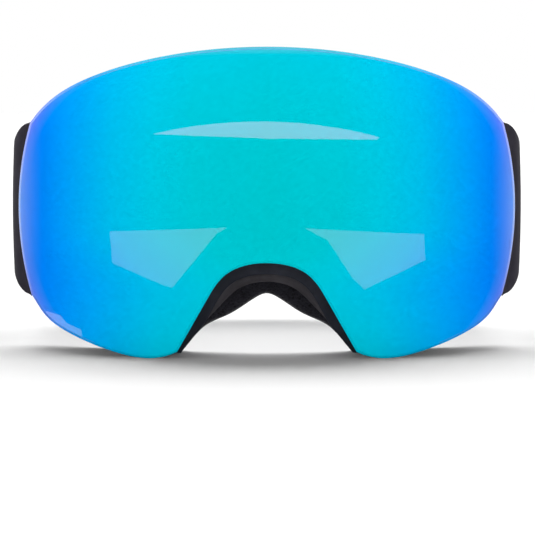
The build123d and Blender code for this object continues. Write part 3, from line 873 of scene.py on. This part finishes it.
# ---- frame ----
def chassis():
    outer = loop(2.0, FRAME_NOSE, side=FRAME_SIDE - 2.0)
    inner = loop(7.2, LENS_NOSE, grow=6.4, side=FRAME_SIDE - 7.2)
    piece = ring("chassis", square_ring(outer, inner, CHASSIS_FRONT, CHASSIS_BACK, 0.6), CHASSIS_PLASTIC)
    for x, z in both_sides(PEG_PLACES):
        hole = peg(x, z, 1.5, CHASSIS_FRONT - 1, CHASSIS_BACK - 0.6, "hole", CHASSIS_PLASTIC)
        combine(piece, hole, "DIFFERENCE")
    settle(piece, "frame", "chassis_plastic", "chassis_ring")


def between(outline, share, gap=0.0):
    """Points from behind the frame's rim, at share 0, to its flange, at share 1, with a gap at both."""
    y = (1 - share) * (lens_y(outline, RIM_BACK) + gap) + share * (face_y(outline, FLANGE_FRONT) - gap)
    return np.stack([outline[:, 0], y, outline[:, 1]], 1)


# The frame's wall outside and inside: shares of the way back, and how far it has flared towards the flange
WALL_OUTSIDE = [(0.04, 0.0), (0.12, 0.0), (0.3, 0.02), (0.5, 0.10), (0.68, 0.24), (0.84, 0.48), (0.95, 0.8)]
WALL_INSIDE = [(0.97, 0.12), (0.84, 0.0), (0.5, 0.0), (0.12, 0.0), (0.03, -0.1)]


def frame_rows():
    """Rows of the frame's section: front rim, wall that flares back to the face, and flange."""
    rim_out = loop(2.4, FRAME_NOSE, side=FRAME_SIDE - 2.4)
    rim_in = loop(12.0, LENS_NOSE, grow=9.0, side=FRAME_SIDE - 12.0)
    wall_out = loop(3.6, FRAME_NOSE, grow=0.8, side=FRAME_SIDE - 3.6)
    wall_in = loop(5.8, FRAME_NOSE, grow=3.0, side=FRAME_SIDE - 5.8)
    flange_out = loop(2.4, FLANGE_NOSE, side=FRAME_SIDE - 2.4, drop=FOAM_DROP)
    flange_in = loop(15.0, LENS_NOSE, grow=8.0, side=FRAME_SIDE - 15.0, drop=FOAM_DROP, nose_drop=FOAM_DROP)

    rows = [on_lens(across(rim_out, rim_in, 0, 0.4), CHASSIS_BACK), on_lens(rim_out, CHASSIS_BACK + 0.4),
            on_lens(rim_out, RIM_BACK - 0.4), on_lens(across(rim_out, rim_in, 0, 0.4), RIM_BACK)]
    rows += [between(wall_out + (flange_out - wall_out) * flare, share) for share, flare in WALL_OUTSIDE]
    rows += [on_face(flange_out, FLANGE_FRONT + 0.3), on_face(flange_out, FLANGE_BACK - 0.4),
             on_face(across(flange_out, flange_in, 0, 0.4), FLANGE_BACK),
             on_face(across(flange_out, flange_in, 1, -0.4), FLANGE_BACK),
             on_face(flange_in, FLANGE_BACK - 0.4), on_face(flange_in, FLANGE_FRONT + 0.4),
             on_face(across(flange_out, flange_in, 1, -0.4), FLANGE_FRONT)]
    rows += [between(wall_in + (flange_in - wall_in) * flare, share) for share, flare in WALL_INSIDE]
    rows += [on_lens(across(rim_out, rim_in, 1, -0.4), RIM_BACK), on_lens(rim_in, RIM_BACK - 0.4),
             on_lens(rim_in, CHASSIS_BACK + 0.4), on_lens(across(rim_out, rim_in, 1, -0.4), CHASSIS_BACK)]
    return rows


TOP_VENTS, BOTTOM_VENTS = [-52.0, -31.2, -10.4, 10.4, 31.2, 52.0], [-62.0, -47.0, 47.0, 62.0]


def vent_cutter(x, low, high):
    flat = np.array([(abs(x), LENS_MIDDLE_Z)])
    front, back = lens_y(flat, RIM_BACK)[0], face_y(flat, FLANGE_FRONT)[0]
    outline = rounded_box_outline(14.0, 0.55 * (back - front), 2.4, x, (front + back) / 2)
    return prism("vent", outline, low, high, FRAME_PLASTIC)


def hinge_lug(side, low, high):
    """One of the two lugs that hold a hinge pin: a rounded ear on a web from the frame's wall."""
    turns = np.linspace(-pi / 2, pi / 2, 17)
    nose = [(HINGE_X + 2.5 * cos(t), HINGE_Y + 2.5 * sin(t)) for t in turns]
    outline = np.array([(82.0, HINGE_Y - 2.5), *nose, (82.0, HINGE_Y + 2.5)]) * (side, 1)
    lug = prism("lug", outline, low, high, FRAME_PLASTIC)
    bevel = lug.modifiers.new("bevel", "BEVEL")
    bevel.width, bevel.segments, bevel.limit_method, bevel.angle_limit = 0.5 * MM, 3, "ANGLE", radians(50)
    return apply_modifiers(lug)


def frame_shell():
    piece = ring("frame_shell", frame_rows(), FRAME_PLASTIC)
    for x in TOP_VENTS:
        combine(piece, vent_cutter(x, LENS_HEIGHT - 30, LENS_HEIGHT + 10), "DIFFERENCE")
    for x in BOTTOM_VENTS:
        combine(piece, vent_cutter(x, -15, 15), "DIFFERENCE")
    for side in SIDES.values():
        for low in (SIDE_MIDDLE_Z - 16.0, SIDE_MIDDLE_Z + 10.0):
            combine(piece, hinge_lug(side, low, low + 6.0))
    settle(piece, "frame", "frame_plastic", "frame")


def hinge_pins():
    half, head = 16.0, 0.8
    upper = [(1.2, half), (1.9, half), (1.9, half + 0.4), (1.5, half + head), (0.01, half + head)]
    for name, side in SIDES.items():
        piece = turned(f"hinge_pin_{name}_turned", upper, side, STEEL, sharp=30)
        settle(piece, "frame", "pin_steel", f"hinge_pin_{name}")


# ---- foam ----
def layer_rows(outer, inner, front, back, bulge, crown):
    """Rows of one foam layer: its sides swell between the glue lines, and its back is crowned."""
    thick = back - front
    tuck = min(0.9, thick * 0.3)
    side = [(tuck, front), (tuck * 0.35, front + thick * 0.12), (0.05, front + thick * 0.3),
            (-bulge, front + thick * 0.5), (0.05, front + thick * 0.72),
            (tuck * 0.45, back - thick * 0.12 - crown * 0.6), (tuck * 1.3, back - crown * 0.35)]
    top = [(0.22, 0, back - crown * 0.08), (0.5, 0, back), (0.78, 0, back - crown * 0.08)]
    marks = section_marks(side, top) + [(0.5, 0, front)]
    above_floor = (-LENS_RADIUS, 0.03)
    return [on_face(np.maximum(across(outer, inner, share, offset), above_floor), depth)
            for share, offset, depth in marks]


def face_foam():
    outer = soften(loop(2.0, FOAM_NOSE, side=FRAME_SIDE - 2.0, drop=FOAM_DROP), 3)
    inner = loop(16.0, LENS_NOSE, grow=9.0, side=FRAME_SIDE - 16.0, drop=FOAM_DROP, nose_drop=FOAM_DROP)
    inner = soften(inner, 3)
    layers = [("face_foam_base", "face_foam", BASE_FOAM, FLANGE_BACK, BASE_FOAM_BACK, 0.5, 0.0),
              ("face_foam_middle", "face_foam_light", LIGHT_FOAM, BASE_FOAM_BACK, MIDDLE_FOAM_BACK, 0.4, 0.0),
              ("face_fleece", "face_fleece", FLEECE, MIDDLE_FOAM_BACK, FLEECE_BACK, 0.3, 1.2)]
    for node, slot, material, front, back, bulge, crown in layers:
        rows = layer_rows(outer, inner, front, back, bulge, crown)
        piece = ring(node + "_pad", rows, material, sharp=70)
        subdivision = piece.modifiers.new("smooth", "SUBSURF")
        subdivision.levels = subdivision.render_levels = 1
        settle(piece, "frame", slot, node)


def vent_foam():
    """The foam behind each row of vents, cut from sheet and tucked inside the frame's wall."""
    outer = loop(5.9, FRAME_NOSE, grow=3.1, side=FRAME_SIDE - 5.9)
    inner = loop(8.2, FRAME_NOSE, grow=5.4, side=FRAME_SIDE - 8.2)
    spans = {"vent_foam_top": (lambda p: (p[:, 1] > 80) & (abs(p[:, 0]) < 63)),
             "vent_foam_bottom_left": (lambda p: (p[:, 1] < 30) & (p[:, 0] < -38) & (p[:, 0] > -71)),
             "vent_foam_bottom_right": (lambda p: (p[:, 1] < 30) & (p[:, 0] > 38) & (p[:, 0] < 71))}
    for node, inside in spans.items():
        chosen = np.flatnonzero(inside(outer))
        breaks = np.flatnonzero(np.diff(chosen) > 1)
        if len(breaks):
            chosen = np.roll(chosen, -(breaks[0] + 1))
        a, b = outer[chosen], inner[chosen]
        marks = [(0, 0.3, 0.0), (0, 0.0, 0.08), (0, 0.0, 0.5), (0, 0.0, 0.92), (0, 0.3, 1.0), (1, -0.4, 1.0),
                 (1, 0.1, 0.92), (1, 0.25, 0.5), (1, 0.1, 0.08), (1, -0.4, 0.0)]
        rows = np.array([between(across(a, b, share, offset), depth, gap=0.15)
                         for share, offset, depth in marks])
        points = rows.transpose(1, 0, 2).reshape(-1, 3)
        piece = new_piece(node + "_pad", points, tube_faces(len(a), len(marks)), VENT_FOAM, sharp=70)
        settle(piece, "frame", "vent_foam", node)


# ---- strap arms ----
# The inside of the right arm seen from above, and its half-height along y
ARM_LINE = [(88.1, 58.6), (90.5, 62.4), (92.6, 65.5), (94.2, 69.5), (95.3, 76.0), (95.4, 84.0), (95.0, 91.0),
            (94.2, 97.2)]
ARM_HALF_HEIGHT = [(58.6, 32.4), (62.4, 31.5), (65.5, 30.1), (69.5, 27.9), (76.0, 25.7), (84.0, 25.0),
                   (97.2, 25.0)]
ARM_END, ARM_CORNER, ARM_THICKNESS, ARM_LIP, ARM_CROWN = 97.2, 2.5, 2.2, 0.9, 0.7
LENS_SIDE_RADIUS = 104.0                      # of the lens's side as seen from the front
SLOT_LENGTH, SLOT_HEIGHT, SLOT_MIDDLE = 12.0, 45.8, 96.4
BAR_HALF_HEIGHT, BARREL_HALF_HEIGHT = 24.2, 9.7


def arm_front(z):
    """y of the arm's front edge at each height: behind the lens's side, and set back at the corners."""
    away = abs(z - SIDE_MIDDLE_Z)
    lens_side = LENS_HALF_WIDTH - away ** 2 / (2 * LENS_SIDE_RADIUS)
    back = lens_y(np.stack([lens_side, z], 1), OUTER_LENS_BACK)
    return np.maximum(back + 0.6, ARM_LINE[0][1]) + 0.12 * np.maximum(away - 30, 0) ** 2


def arm_section(steps=5, rungs=20):
    """Marks round the arm's upright section: how far in, how high, and the corner's own turn."""
    marks = []
    for corner, (inside, up) in enumerate(((0, 1), (1, 1), (1, -1), (0, -1))):
        for k in range(steps):
            turn = (2 - corner) * pi / 2 - k / (steps - 1) * pi / 2
            marks.append((inside, up, cos(turn), sin(turn)))
        if corner in (1, 3):
            along = 1 if corner == 1 else -1
            marks += [(inside, up * (1 - 2 * k / rungs), along, 0) for k in range(1, rungs)]
    return marks


def arm_rows():
    """Rows of the right arm's curved plate, from its front lip to its rounded end."""
    line = spline(ARM_LINE, (0.55, 0.83), (-0.16, 0.99), 200)
    ahead = heading(line)
    height = spline(ARM_HALF_HEIGHT, (1, -0.5), (1, 0), 200)
    rows = []
    for share in np.concatenate([[0], np.linspace(0.006, 0.994, 54), [1]]):
        nominal = ARM_LINE[0][1] + share * (ARM_END - ARM_LINE[0][1])
        reach = np.interp(nominal, height[:, 0], height[:, 1])
        reach -= ARM_CORNER * (1 - sqrt(1 - max(0.0, (nominal - ARM_END + ARM_CORNER) / ARM_CORNER) ** 2))
        thick = ARM_LIP + (ARM_THICKNESS - ARM_LIP) * min(1.0, share / 0.12)
        if share in (0, 1):
            thick *= 0.5
        radius = min(0.75, thick * 0.49)
        row = []
        for inside, up, along, rise in arm_section():
            z = SIDE_MIDDLE_Z - 0.3 + up * (reach - radius) + radius * rise
            front = arm_front(np.array([z]))[0]
            y = front + share * (ARM_END - front)
            shell = (ARM_THICKNESS - thick) / 2 if share == 1 else 0.15 * (share == 0)
            deep = shell + (thick - radius if inside else radius) + radius * along
            spot = np.array([np.interp(y, line[:, 1], line[:, 0]), y])
            k = min(np.searchsorted(line[:, 1], y), len(line) - 1)
            crown = ARM_CROWN * ((z - SIDE_MIDDLE_Z) / 25) ** 2 * min(1.0, max(0.0, (88.0 - y) / 12))
            spot = spot + np.array([-ahead[k, 1], ahead[k, 0]]) * (deep + crown)
            row.append((spot[0], spot[1], z))
        rows.append(row)
    return rows


def arm(name, side):
    """The curved plate with its slot and bar, and the barrel that turns on the hinge pin."""
    rows = arm_rows()
    points = np.array(rows).reshape(-1, 3) * (side, 1, 1)
    piece = new_piece(f"strap_arm_{name}_moulding", points, tube_faces(len(rows), len(rows[0])), ARM_PLASTIC)
    slot = rounded_box_outline(SLOT_LENGTH, SLOT_HEIGHT, 0.6, SLOT_MIDDLE, SIDE_MIDDLE_Z)
    combine(piece, prism("slot", slot, 80, 110, ARM_PLASTIC, axis="x"), "DIFFERENCE")
    bar = rounded_box_outline(2.4, 4.4, 1.15, side * BAR_X, BAR_Y)
    low, high = SIDE_MIDDLE_Z - BAR_HALF_HEIGHT, SIDE_MIDDLE_Z + BAR_HALF_HEIGHT
    combine(piece, prism("bar", bar, low, high, ARM_PLASTIC))
    reach = BARREL_HALF_HEIGHT
    room = [(2.8, reach + 7), (0.01, reach + 7)]
    combine(piece, turned("room", room, side, ARM_PLASTIC), "DIFFERENCE")
    barrel = [(2.5, reach - 0.4), (2.1, reach), (1.25, reach)]
    combine(piece, turned("barrel", barrel, side, ARM_PLASTIC))
    neck = (side * (HINGE_X + 2.3), HINGE_Y + 0.3, SIDE_MIDDLE_Z)
    combine(piece, box_piece("neck", neck, (1.5, 2.6, 19.0), 0.2, ARM_PLASTIC))
    settle(piece, f"arm_{name}", "arm_plastic", f"strap_arm_{name}")


# ---- strap ----
CORNER_RADIUS, CORNER_SWEEP, STRAIGHT_END, TAIL_END = 55.0, radians(55.0), 166.0, 164.0
WRAP_RADIUS, EASE_Y, LAYERS_MEET = 2.2, 100.0, 105.0
KEEPER_START, KEEPER_LENGTH = 155.5, 6.0
KEEPER_MIDDLE = KEEPER_START + KEEPER_LENGTH / 2
BEND_START, BEND_END = 98.0, 119.0            # between these the webbing passes from the arm to the frame
STITCH_ROWS, STITCH_COUNT = (105.6, 109.6), 26
CORNER_X = STRAP_X - CORNER_RADIUS
REAR_RADIUS = CORNER_RADIUS + CORNER_X / cos(CORNER_SWEEP)
REAR_Y = STRAIGHT_END - CORNER_X * tan(CORNER_SWEEP)


def rear_path(rear_steps, corner_steps):
    """The middle of the webbing seen from above: the right half of its rear, up to where it runs straight."""
    rear = on_circle((0, REAR_Y), REAR_RADIUS, np.linspace(pi / 2, CORNER_SWEEP, rear_steps))
    turns = np.linspace(CORNER_SWEEP, 0, corner_steps)[1:]
    return np.concatenate([rear, on_circle((CORNER_X, STRAIGHT_END), CORNER_RADIUS, turns)])


def strap_path():
    """The whole path on the right: from the rear, round the arm's bar, to the sewn end."""
    run = np.array([(STRAP_X, y) for y in np.linspace(STRAIGHT_END, LAYERS_MEET, 24)[1:]])
    wrap = on_circle((BAR_X, BAR_Y - 1.0), WRAP_RADIUS, np.linspace(pi, 2 * pi, 15))
    ease_in = spline([run[-1], (STRAP_X - 0.75, EASE_Y), wrap[0]], (0, -1), (0, -1), 8)[1:-1]
    outer_x = STRAP_X + STRAP_THICKNESS + 0.02
    ease_out = spline([wrap[-1], (outer_x + 0.75, EASE_Y), (outer_x, LAYERS_MEET)], (0, 1), (0, 1), 8)[1:-1]
    tail = np.array([(outer_x, y) for y in np.linspace(LAYERS_MEET, TAIL_END, 26)])
    return np.concatenate([rear_path(24, 24), run, ease_in, wrap, ease_out, tail])


def drooped(points):
    """Leans what lies behind the arms down towards the back, easing in over the first stretch."""
    share = np.clip((points[:, 1] - (DROOP_START - 8)) / 16, 0, 1)
    turn = DROOP * share * share * (3 - 2 * share)
    y, z = points[:, 1] - DROOP_START, points[:, 2] - SIDE_MIDDLE_Z
    return np.stack([points[:, 0], DROOP_START + y * np.cos(turn) + z * np.sin(turn),
                     SIDE_MIDDLE_Z - y * np.sin(turn) + z * np.cos(turn)], 1)


def swept(path, ways, section, middle):
    """A section of (depth, z) carried along a path: depth along the way there, and z above the middle."""
    return np.array([(*(centre + way * depth), middle + z)
                     for centre, way in zip(path, ways) for depth, z in section])


def strip(name, path):
    """Webbing along a path seen from above: a flat band with rounded selvedges, and its strip coordinates."""
    ahead = heading(path)
    normal = np.stack([ahead[:, 1], -ahead[:, 0]], 1)
    lengths = np.concatenate([[0], np.cumsum(np.linalg.norm(np.diff(path, axis=0), axis=1))])
    half, edge = STRAP_WIDTH / 2, STRAP_THICKNESS / 2
    spread = np.linspace(-half + edge, half - edge, 15)
    round_off = [(edge * cos(t), edge * sin(t)) for t in np.linspace(0, pi, 7)[1:-1]]
    section = [(edge, z) for z in spread]
    section += [(c, half - edge + s) for c, s in round_off]
    section += [(-edge, z) for z in spread[::-1]]
    section += [(-c, -half + edge - s) for c, s in round_off]
    size, count = len(section), len(path)
    points = drooped(swept(path, normal, section, SIDE_MIDDLE_Z))
    obj = new_object(name, to_row(points), tube_faces(count, size), WEBBING)
    layer = obj.data.uv_layers.new(name="strip")
    marks = [(lengths[i // size] * MM, section[i % size][1] * MM) for i in range(size * count)]
    for corner in obj.data.loops:
        layer.data[corner.index].uv = marks[corner.vertex_index]
    return clean(obj, sharp=60, merge=False)


def stitches(name, side, y):
    """A row of thread across the strap's outside, over and under in small slanted stitches."""
    pieces = []
    for k in range(STITCH_COUNT):
        z = SIDE_MIDDLE_Z + (k - (STITCH_COUNT - 1) / 2) * (STRAP_WIDTH - 5) / STITCH_COUNT
        slant = 0.5 if k % 2 else -0.5
        x = side * (STRAP_X + STRAP_THICKNESS * 1.5 + 0.08)
        piece = box_piece(f"{name}_{k}", (x, y + slant, z), (0.42, 1.5, 0.5), 0.18, THREAD, segments=2)
        pieces.append(piece)
    return pieces


def strap_rear():
    """The strap's rear stretch, whose ends hide under the keepers."""
    path = strap_path()
    half = path[:np.argmax(path[:, 1] < KEEPER_MIDDLE) + 1]
    piece = strip("strap_rear", np.concatenate([half[::-1] * (-1, 1), half[1:]]))
    settle(piece, "frame", "strap_webbing", "strap_band")


def strap(name, side):
    """The rest on one side: from under the keeper round the arm's bar and back to the sewn end."""
    path = strap_path()
    path = path[np.argmax(path[:, 1] < KEEPER_MIDDLE):] * (side, 1)
    piece = strip(f"strap_{name}", path)
    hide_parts("strap_band", f"strap_anchor_{name}", f"strap_tail_{name}")
    sewn = [stitch for y in STITCH_ROWS for stitch in stitches(f"stitch_{name}_{y:.0f}", side, y)]
    thread_piece = join(sewn[0], sewn[1:])
    thread_piece.name = f"strap_stitching_{name}"
    for soft in (piece, thread_piece):
        start, end = (to_row([(side * STRAP_X, y, SIDE_MIDDLE_Z)])[0] for y in (BEND_START, BEND_END))
        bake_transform(soft)


def band(name, start, length, side, material, gap, wall, wall_end, corner):
    """A closed band round both layers of the strap. wall_end is its wall's thickness above and below them."""
    x = side * (STRAP_X + STRAP_THICKNESS / 2)
    middle = np.array([x, SIDE_MIDDLE_Z])
    size = np.array([2 * (STRAP_THICKNESS + gap), STRAP_WIDTH + 2 * gap])
    inside = np.array(rounded_box_outline(*size, 0.3, *middle))
    outside = np.array(rounded_box_outline(*(size + (2 * wall, 2 * wall_end)), corner, *middle))
    ease = 0.35
    smaller = middle + (outside - middle) * (1 - 2 * ease / np.ptp(outside, axis=0))
    rows = [(inside, start), (smaller, start), (outside, start + ease), (outside, start + length - ease),
            (smaller, start + length), (inside, start + length)]
    points = np.concatenate([np.column_stack([p[:, 0], np.full(len(p), y), p[:, 1]]) for p, y in rows])
    return new_piece(name, points, ring_faces(len(rows), len(inside)), material)


def droop_piece(piece):
    """Leans a finished piece with the strap."""
    pivot = Vector(to_row([(0, DROOP_START, SIDE_MIDDLE_Z)])[0])
    turn = Matrix.Translation(pivot) @ Matrix.Rotation(-DROOP, 4, "X") @ Matrix.Translation(-pivot)
    piece.data.transform(turn)


def slider(name, side):
    """A slider with one window on its outside and two beside a bar on its inside."""
    start, length, bar, wall, gap = 120.0, 15.0, 3.6, 1.4, 0.3
    piece = band(f"strap_slider_{name}_moulding", start, length, side, SLIDER_PLASTIC, gap=gap, wall=wall,
                 wall_end=2.6, corner=1.2)
    x = side * (STRAP_X + STRAP_THICKNESS / 2)
    out = side * (STRAP_THICKNESS + gap + wall / 2)
    middle = start + length / 2
    side_window = (length - bar) / 2
    reach = (length - side_window + 1.0) / 2
    windows = [(x + out, middle, length - 2 * bar), (x - out, middle - reach, side_window + 1.0),
               (x - out, middle + reach, side_window + 1.0)]
    for at_x, at_y, long in windows:
        size = (wall + 0.6, long, STRAP_WIDTH + 2 * gap)
        combine(piece, box_piece("cut", (at_x, at_y, SIDE_MIDDLE_Z), size, 0, SLIDER_PLASTIC), "DIFFERENCE")
    droop_piece(piece)
    settle(piece, f"slider_{name}", "slider_plastic", f"strap_slider_{name}")


def keeper(name, side):
    piece = band(f"strap_keeper_{name}_moulding", KEEPER_START, KEEPER_LENGTH, side, KEEPER_RUBBER, gap=0.06,
                 wall=0.7, wall_end=0.7, corner=0.9)
    droop_piece(piece)
    settle(piece, "frame", "keeper_rubber", f"strap_keeper_{name}")


def grip_lines():
    """Silicone lines printed along the inside of the strap's rear, domed across."""
    half = rear_path(40, 30)
    path = np.concatenate([half[::-1], half[1:] * (-1, 1)])
    ahead = heading(path)
    inward = np.stack([-ahead[:, 1], ahead[:, 0]], 1)
    shallow = STRAP_THICKNESS / 2
    section = [(shallow - 0.1, -1.5), (shallow + 0.2, -1.3), (shallow + 0.36, -0.7), (shallow + 0.4, 0.0),
               (shallow + 0.36, 0.7), (shallow + 0.2, 1.3), (shallow - 0.1, 1.5)]
    lines = []
    for rise in (-13.0, 0.0, 13.0):
        points = drooped(swept(path, inward, section, SIDE_MIDDLE_Z + rise))
        lines.append(new_piece(f"grip_{rise:.0f}", points, tube_faces(len(path), len(section)), SILICONE))
    piece = join(lines[0], lines[1:])
    piece.name = "strap_grip_lines"
    settle(piece, "frame", "grip_silicone", "strap_grip_strips")


# ---- stage ----
CAMERA_PLACE = np.array([0.25, -1198.4, 96.2])
CAMERA_PITCH, CAMERA_LENS, SENSOR_WIDTH = 3.0, 228.7, 36.0
SKY_LIGHT = 0.2                               # how much of the white surroundings lights the surfaces

# What the front of the lens mirrors, as outlines on the lens in (x, z), and the colours of these panels
STRIP_LIGHT = [*arc((-40.6, 80.3), (-1.8, 84.9), (40.2, 79.2), 12), (38.8, 78.4), (0.0, 78.9), (-33.1, 80.1)]
LEFT_CARD = [(-56.3, 45.5), (-13.7, 47.5), (-17.7, 45.4), (-33.6, 25.8), (-36.6, 26.6), (-55.3, 34.1)]
RIGHT_CARD = [(13.5, 47.2), (56.4, 44.5), (56.8, 35.2), (34.7, 25.2), (30.5, 29.3), (21.6, 42.8)]
EDGE_CARD = [(-80.8, 15.1), (-75.3, 14.1), (-72.7, 11.3), (-67.0, 9.2), (-67.0, 6.3), (-71.0, 6.7),
             (-76.8, 10.0), (-82.2, 14.0)]
CARD_TINT, EDGE_TINT = (1.0, 0.28, 0.5), (1.0, 0.75, 0.5)
CARD_DISTANCE = 600.0


def floor():
    reach = 12.0
    corners = [(x * reach, y * reach, 0) for x, y in ((-1, -1), (1, -1), (1, 1), (-1, 1))]
    look = Look("floor", (0.86, 0.86, 0.86), 0.9, Specular_IOR_Level=0.0)
    obj = new_object("floor", corners, [(0, 1, 2, 3)], look.material)
    obj.visible_glossy = False


def mirrored(point):
    """Where a card stands when the front of the lens mirrors it at (x, z)."""
    spot = on_lens(np.array([point]), 0.0)[0]
    normal = lens_normal(spot[0], spot[2])
    ray = unit(spot - CAMERA_PLACE)
    return spot + (ray - 2 * (ray @ normal) * normal) * CARD_DISTANCE


def card(name, outline, strength, tint=CARD_TINT):
    """A studio light or card that only shows in reflections, where the lens mirrors this outline."""
    corners = np.asarray(outline, float)
    sides = zip(corners, np.roll(corners, -1, 0))
    edge = [a + (b - a) * share for a, b in sides for share in (0, 0.2, 0.4, 0.6, 0.8)]
    points = [mirrored(p) for p in [corners.mean(0), *edge]]
    faces = [(0, 1 + i, 1 + (i + 1) % len(edge)) for i in range(len(edge))]
    material = bpy.data.materials.new(name)
    material.use_nodes = True
    tree = Nodes(material.node_tree)
    tree.nodes.clear()
    emission, output = tree.nodes.new("ShaderNodeEmission"), tree.nodes.new("ShaderNodeOutputMaterial")
    emission.inputs["Strength"].default_value = strength
    emission.inputs["Color"].default_value = (*tint, 1)
    tree.link(emission.outputs[0], output.inputs["Surface"])
    obj = new_object(name, to_row(points), faces, material)
    obj.visible_camera = obj.visible_diffuse = obj.visible_shadow = obj.visible_transmission = False


def sun(name, direction, brightness, spread):
    """Soft light from a direction. brightness is how bright it makes a white surface that faces it."""
    data = bpy.data.lights.new(name, "SUN")
    data.energy, data.angle = brightness * pi, radians(spread)
    obj = bpy.data.objects.new(name, data)
    obj.rotation_euler = Vector(direction).to_track_quat("Z", "Y").to_euler()
    bpy.context.collection.objects.link(obj)
    obj.visible_glossy = False


def world():
    """A white sweep behind and a white ceiling, with a dark studio in front where the lens mirrors it."""
    data = bpy.data.worlds.new("studio")
    bpy.context.scene.world = data
    data.use_nodes = True
    tree = Nodes(data.node_tree)
    _, y, z = tree.axes(tree.nodes.new("ShaderNodeTexCoord").outputs["Generated"])
    behind = tree.math("MULTIPLY", tree.ease(y, 0.34, 0.72), tree.ease(z, -0.25, -0.02))
    strength = tree.math("MAXIMUM", behind, tree.ease(z, 0.45, 0.75))
    path = tree.nodes.new("ShaderNodeLightPath")
    for ray, value in (("Is Diffuse Ray", SKY_LIGHT), ("Is Camera Ray", 1.0), ("Is Transmission Ray", 1.0)):
        strength = tree.choose(path.outputs[ray], strength, value)
    background = tree.nodes["Background"]
    background.inputs["Color"].default_value = (1, 1, 1, 1)
    tree.link(strength, background.inputs["Strength"])


def camera():
    data = bpy.data.cameras.new("camera")
    data.lens, data.sensor_width = CAMERA_LENS, SENSOR_WIDTH
    obj = bpy.data.objects.new("camera", data)
    bpy.context.collection.objects.link(obj)
    obj.location = to_row([CAMERA_PLACE])[0]
    obj.rotation_euler = (radians(90 - CAMERA_PITCH), 0, 0)
    bpy.context.scene.camera = obj


def stage():
    floor()
    world()
    card("strip_light", STRIP_LIGHT, 4.8)
    card("left_card", LEFT_CARD, 1.85)
    card("right_card", RIGHT_CARD, 1.85)
    card("edge_card", EDGE_CARD, 2.2, EDGE_TINT)
    sun("key", (0.0, 1.15, 1.0), 1.59, 80)
    sun("front", (0.0, -1.0, 0.03), 0.115, 30)
    sun("front_left", (-0.82, -0.57, 0.03), 0.59, 50)
    sun("front_right", (0.82, -0.57, 0.03), 0.59, 50)
    camera()
    bpy.context.scene.view_settings.view_transform = "Standard"


outer_lens()
inner_lens()
lens_carrier()
lens_gasket()
magnets("lens_magnet_blocks", CARRIER_BACK - 1.6, CARRIER_BACK + 0.05, "lens", "lens_magnets")
magnets("chassis_magnet_blocks", CHASSIS_FRONT - 0.05, CHASSIS_FRONT + 1.6, "frame", "chassis_magnets")
chassis()
frame_shell()
hinge_pins()
face_foam()
vent_foam()
strap_rear()
grip_lines()
for side_name, side_sign in SIDES.items():
    arm(side_name, side_sign)
    strap(side_name, side_sign)
    slider(side_name, side_sign)
    keeper(side_name, side_sign)
stage()
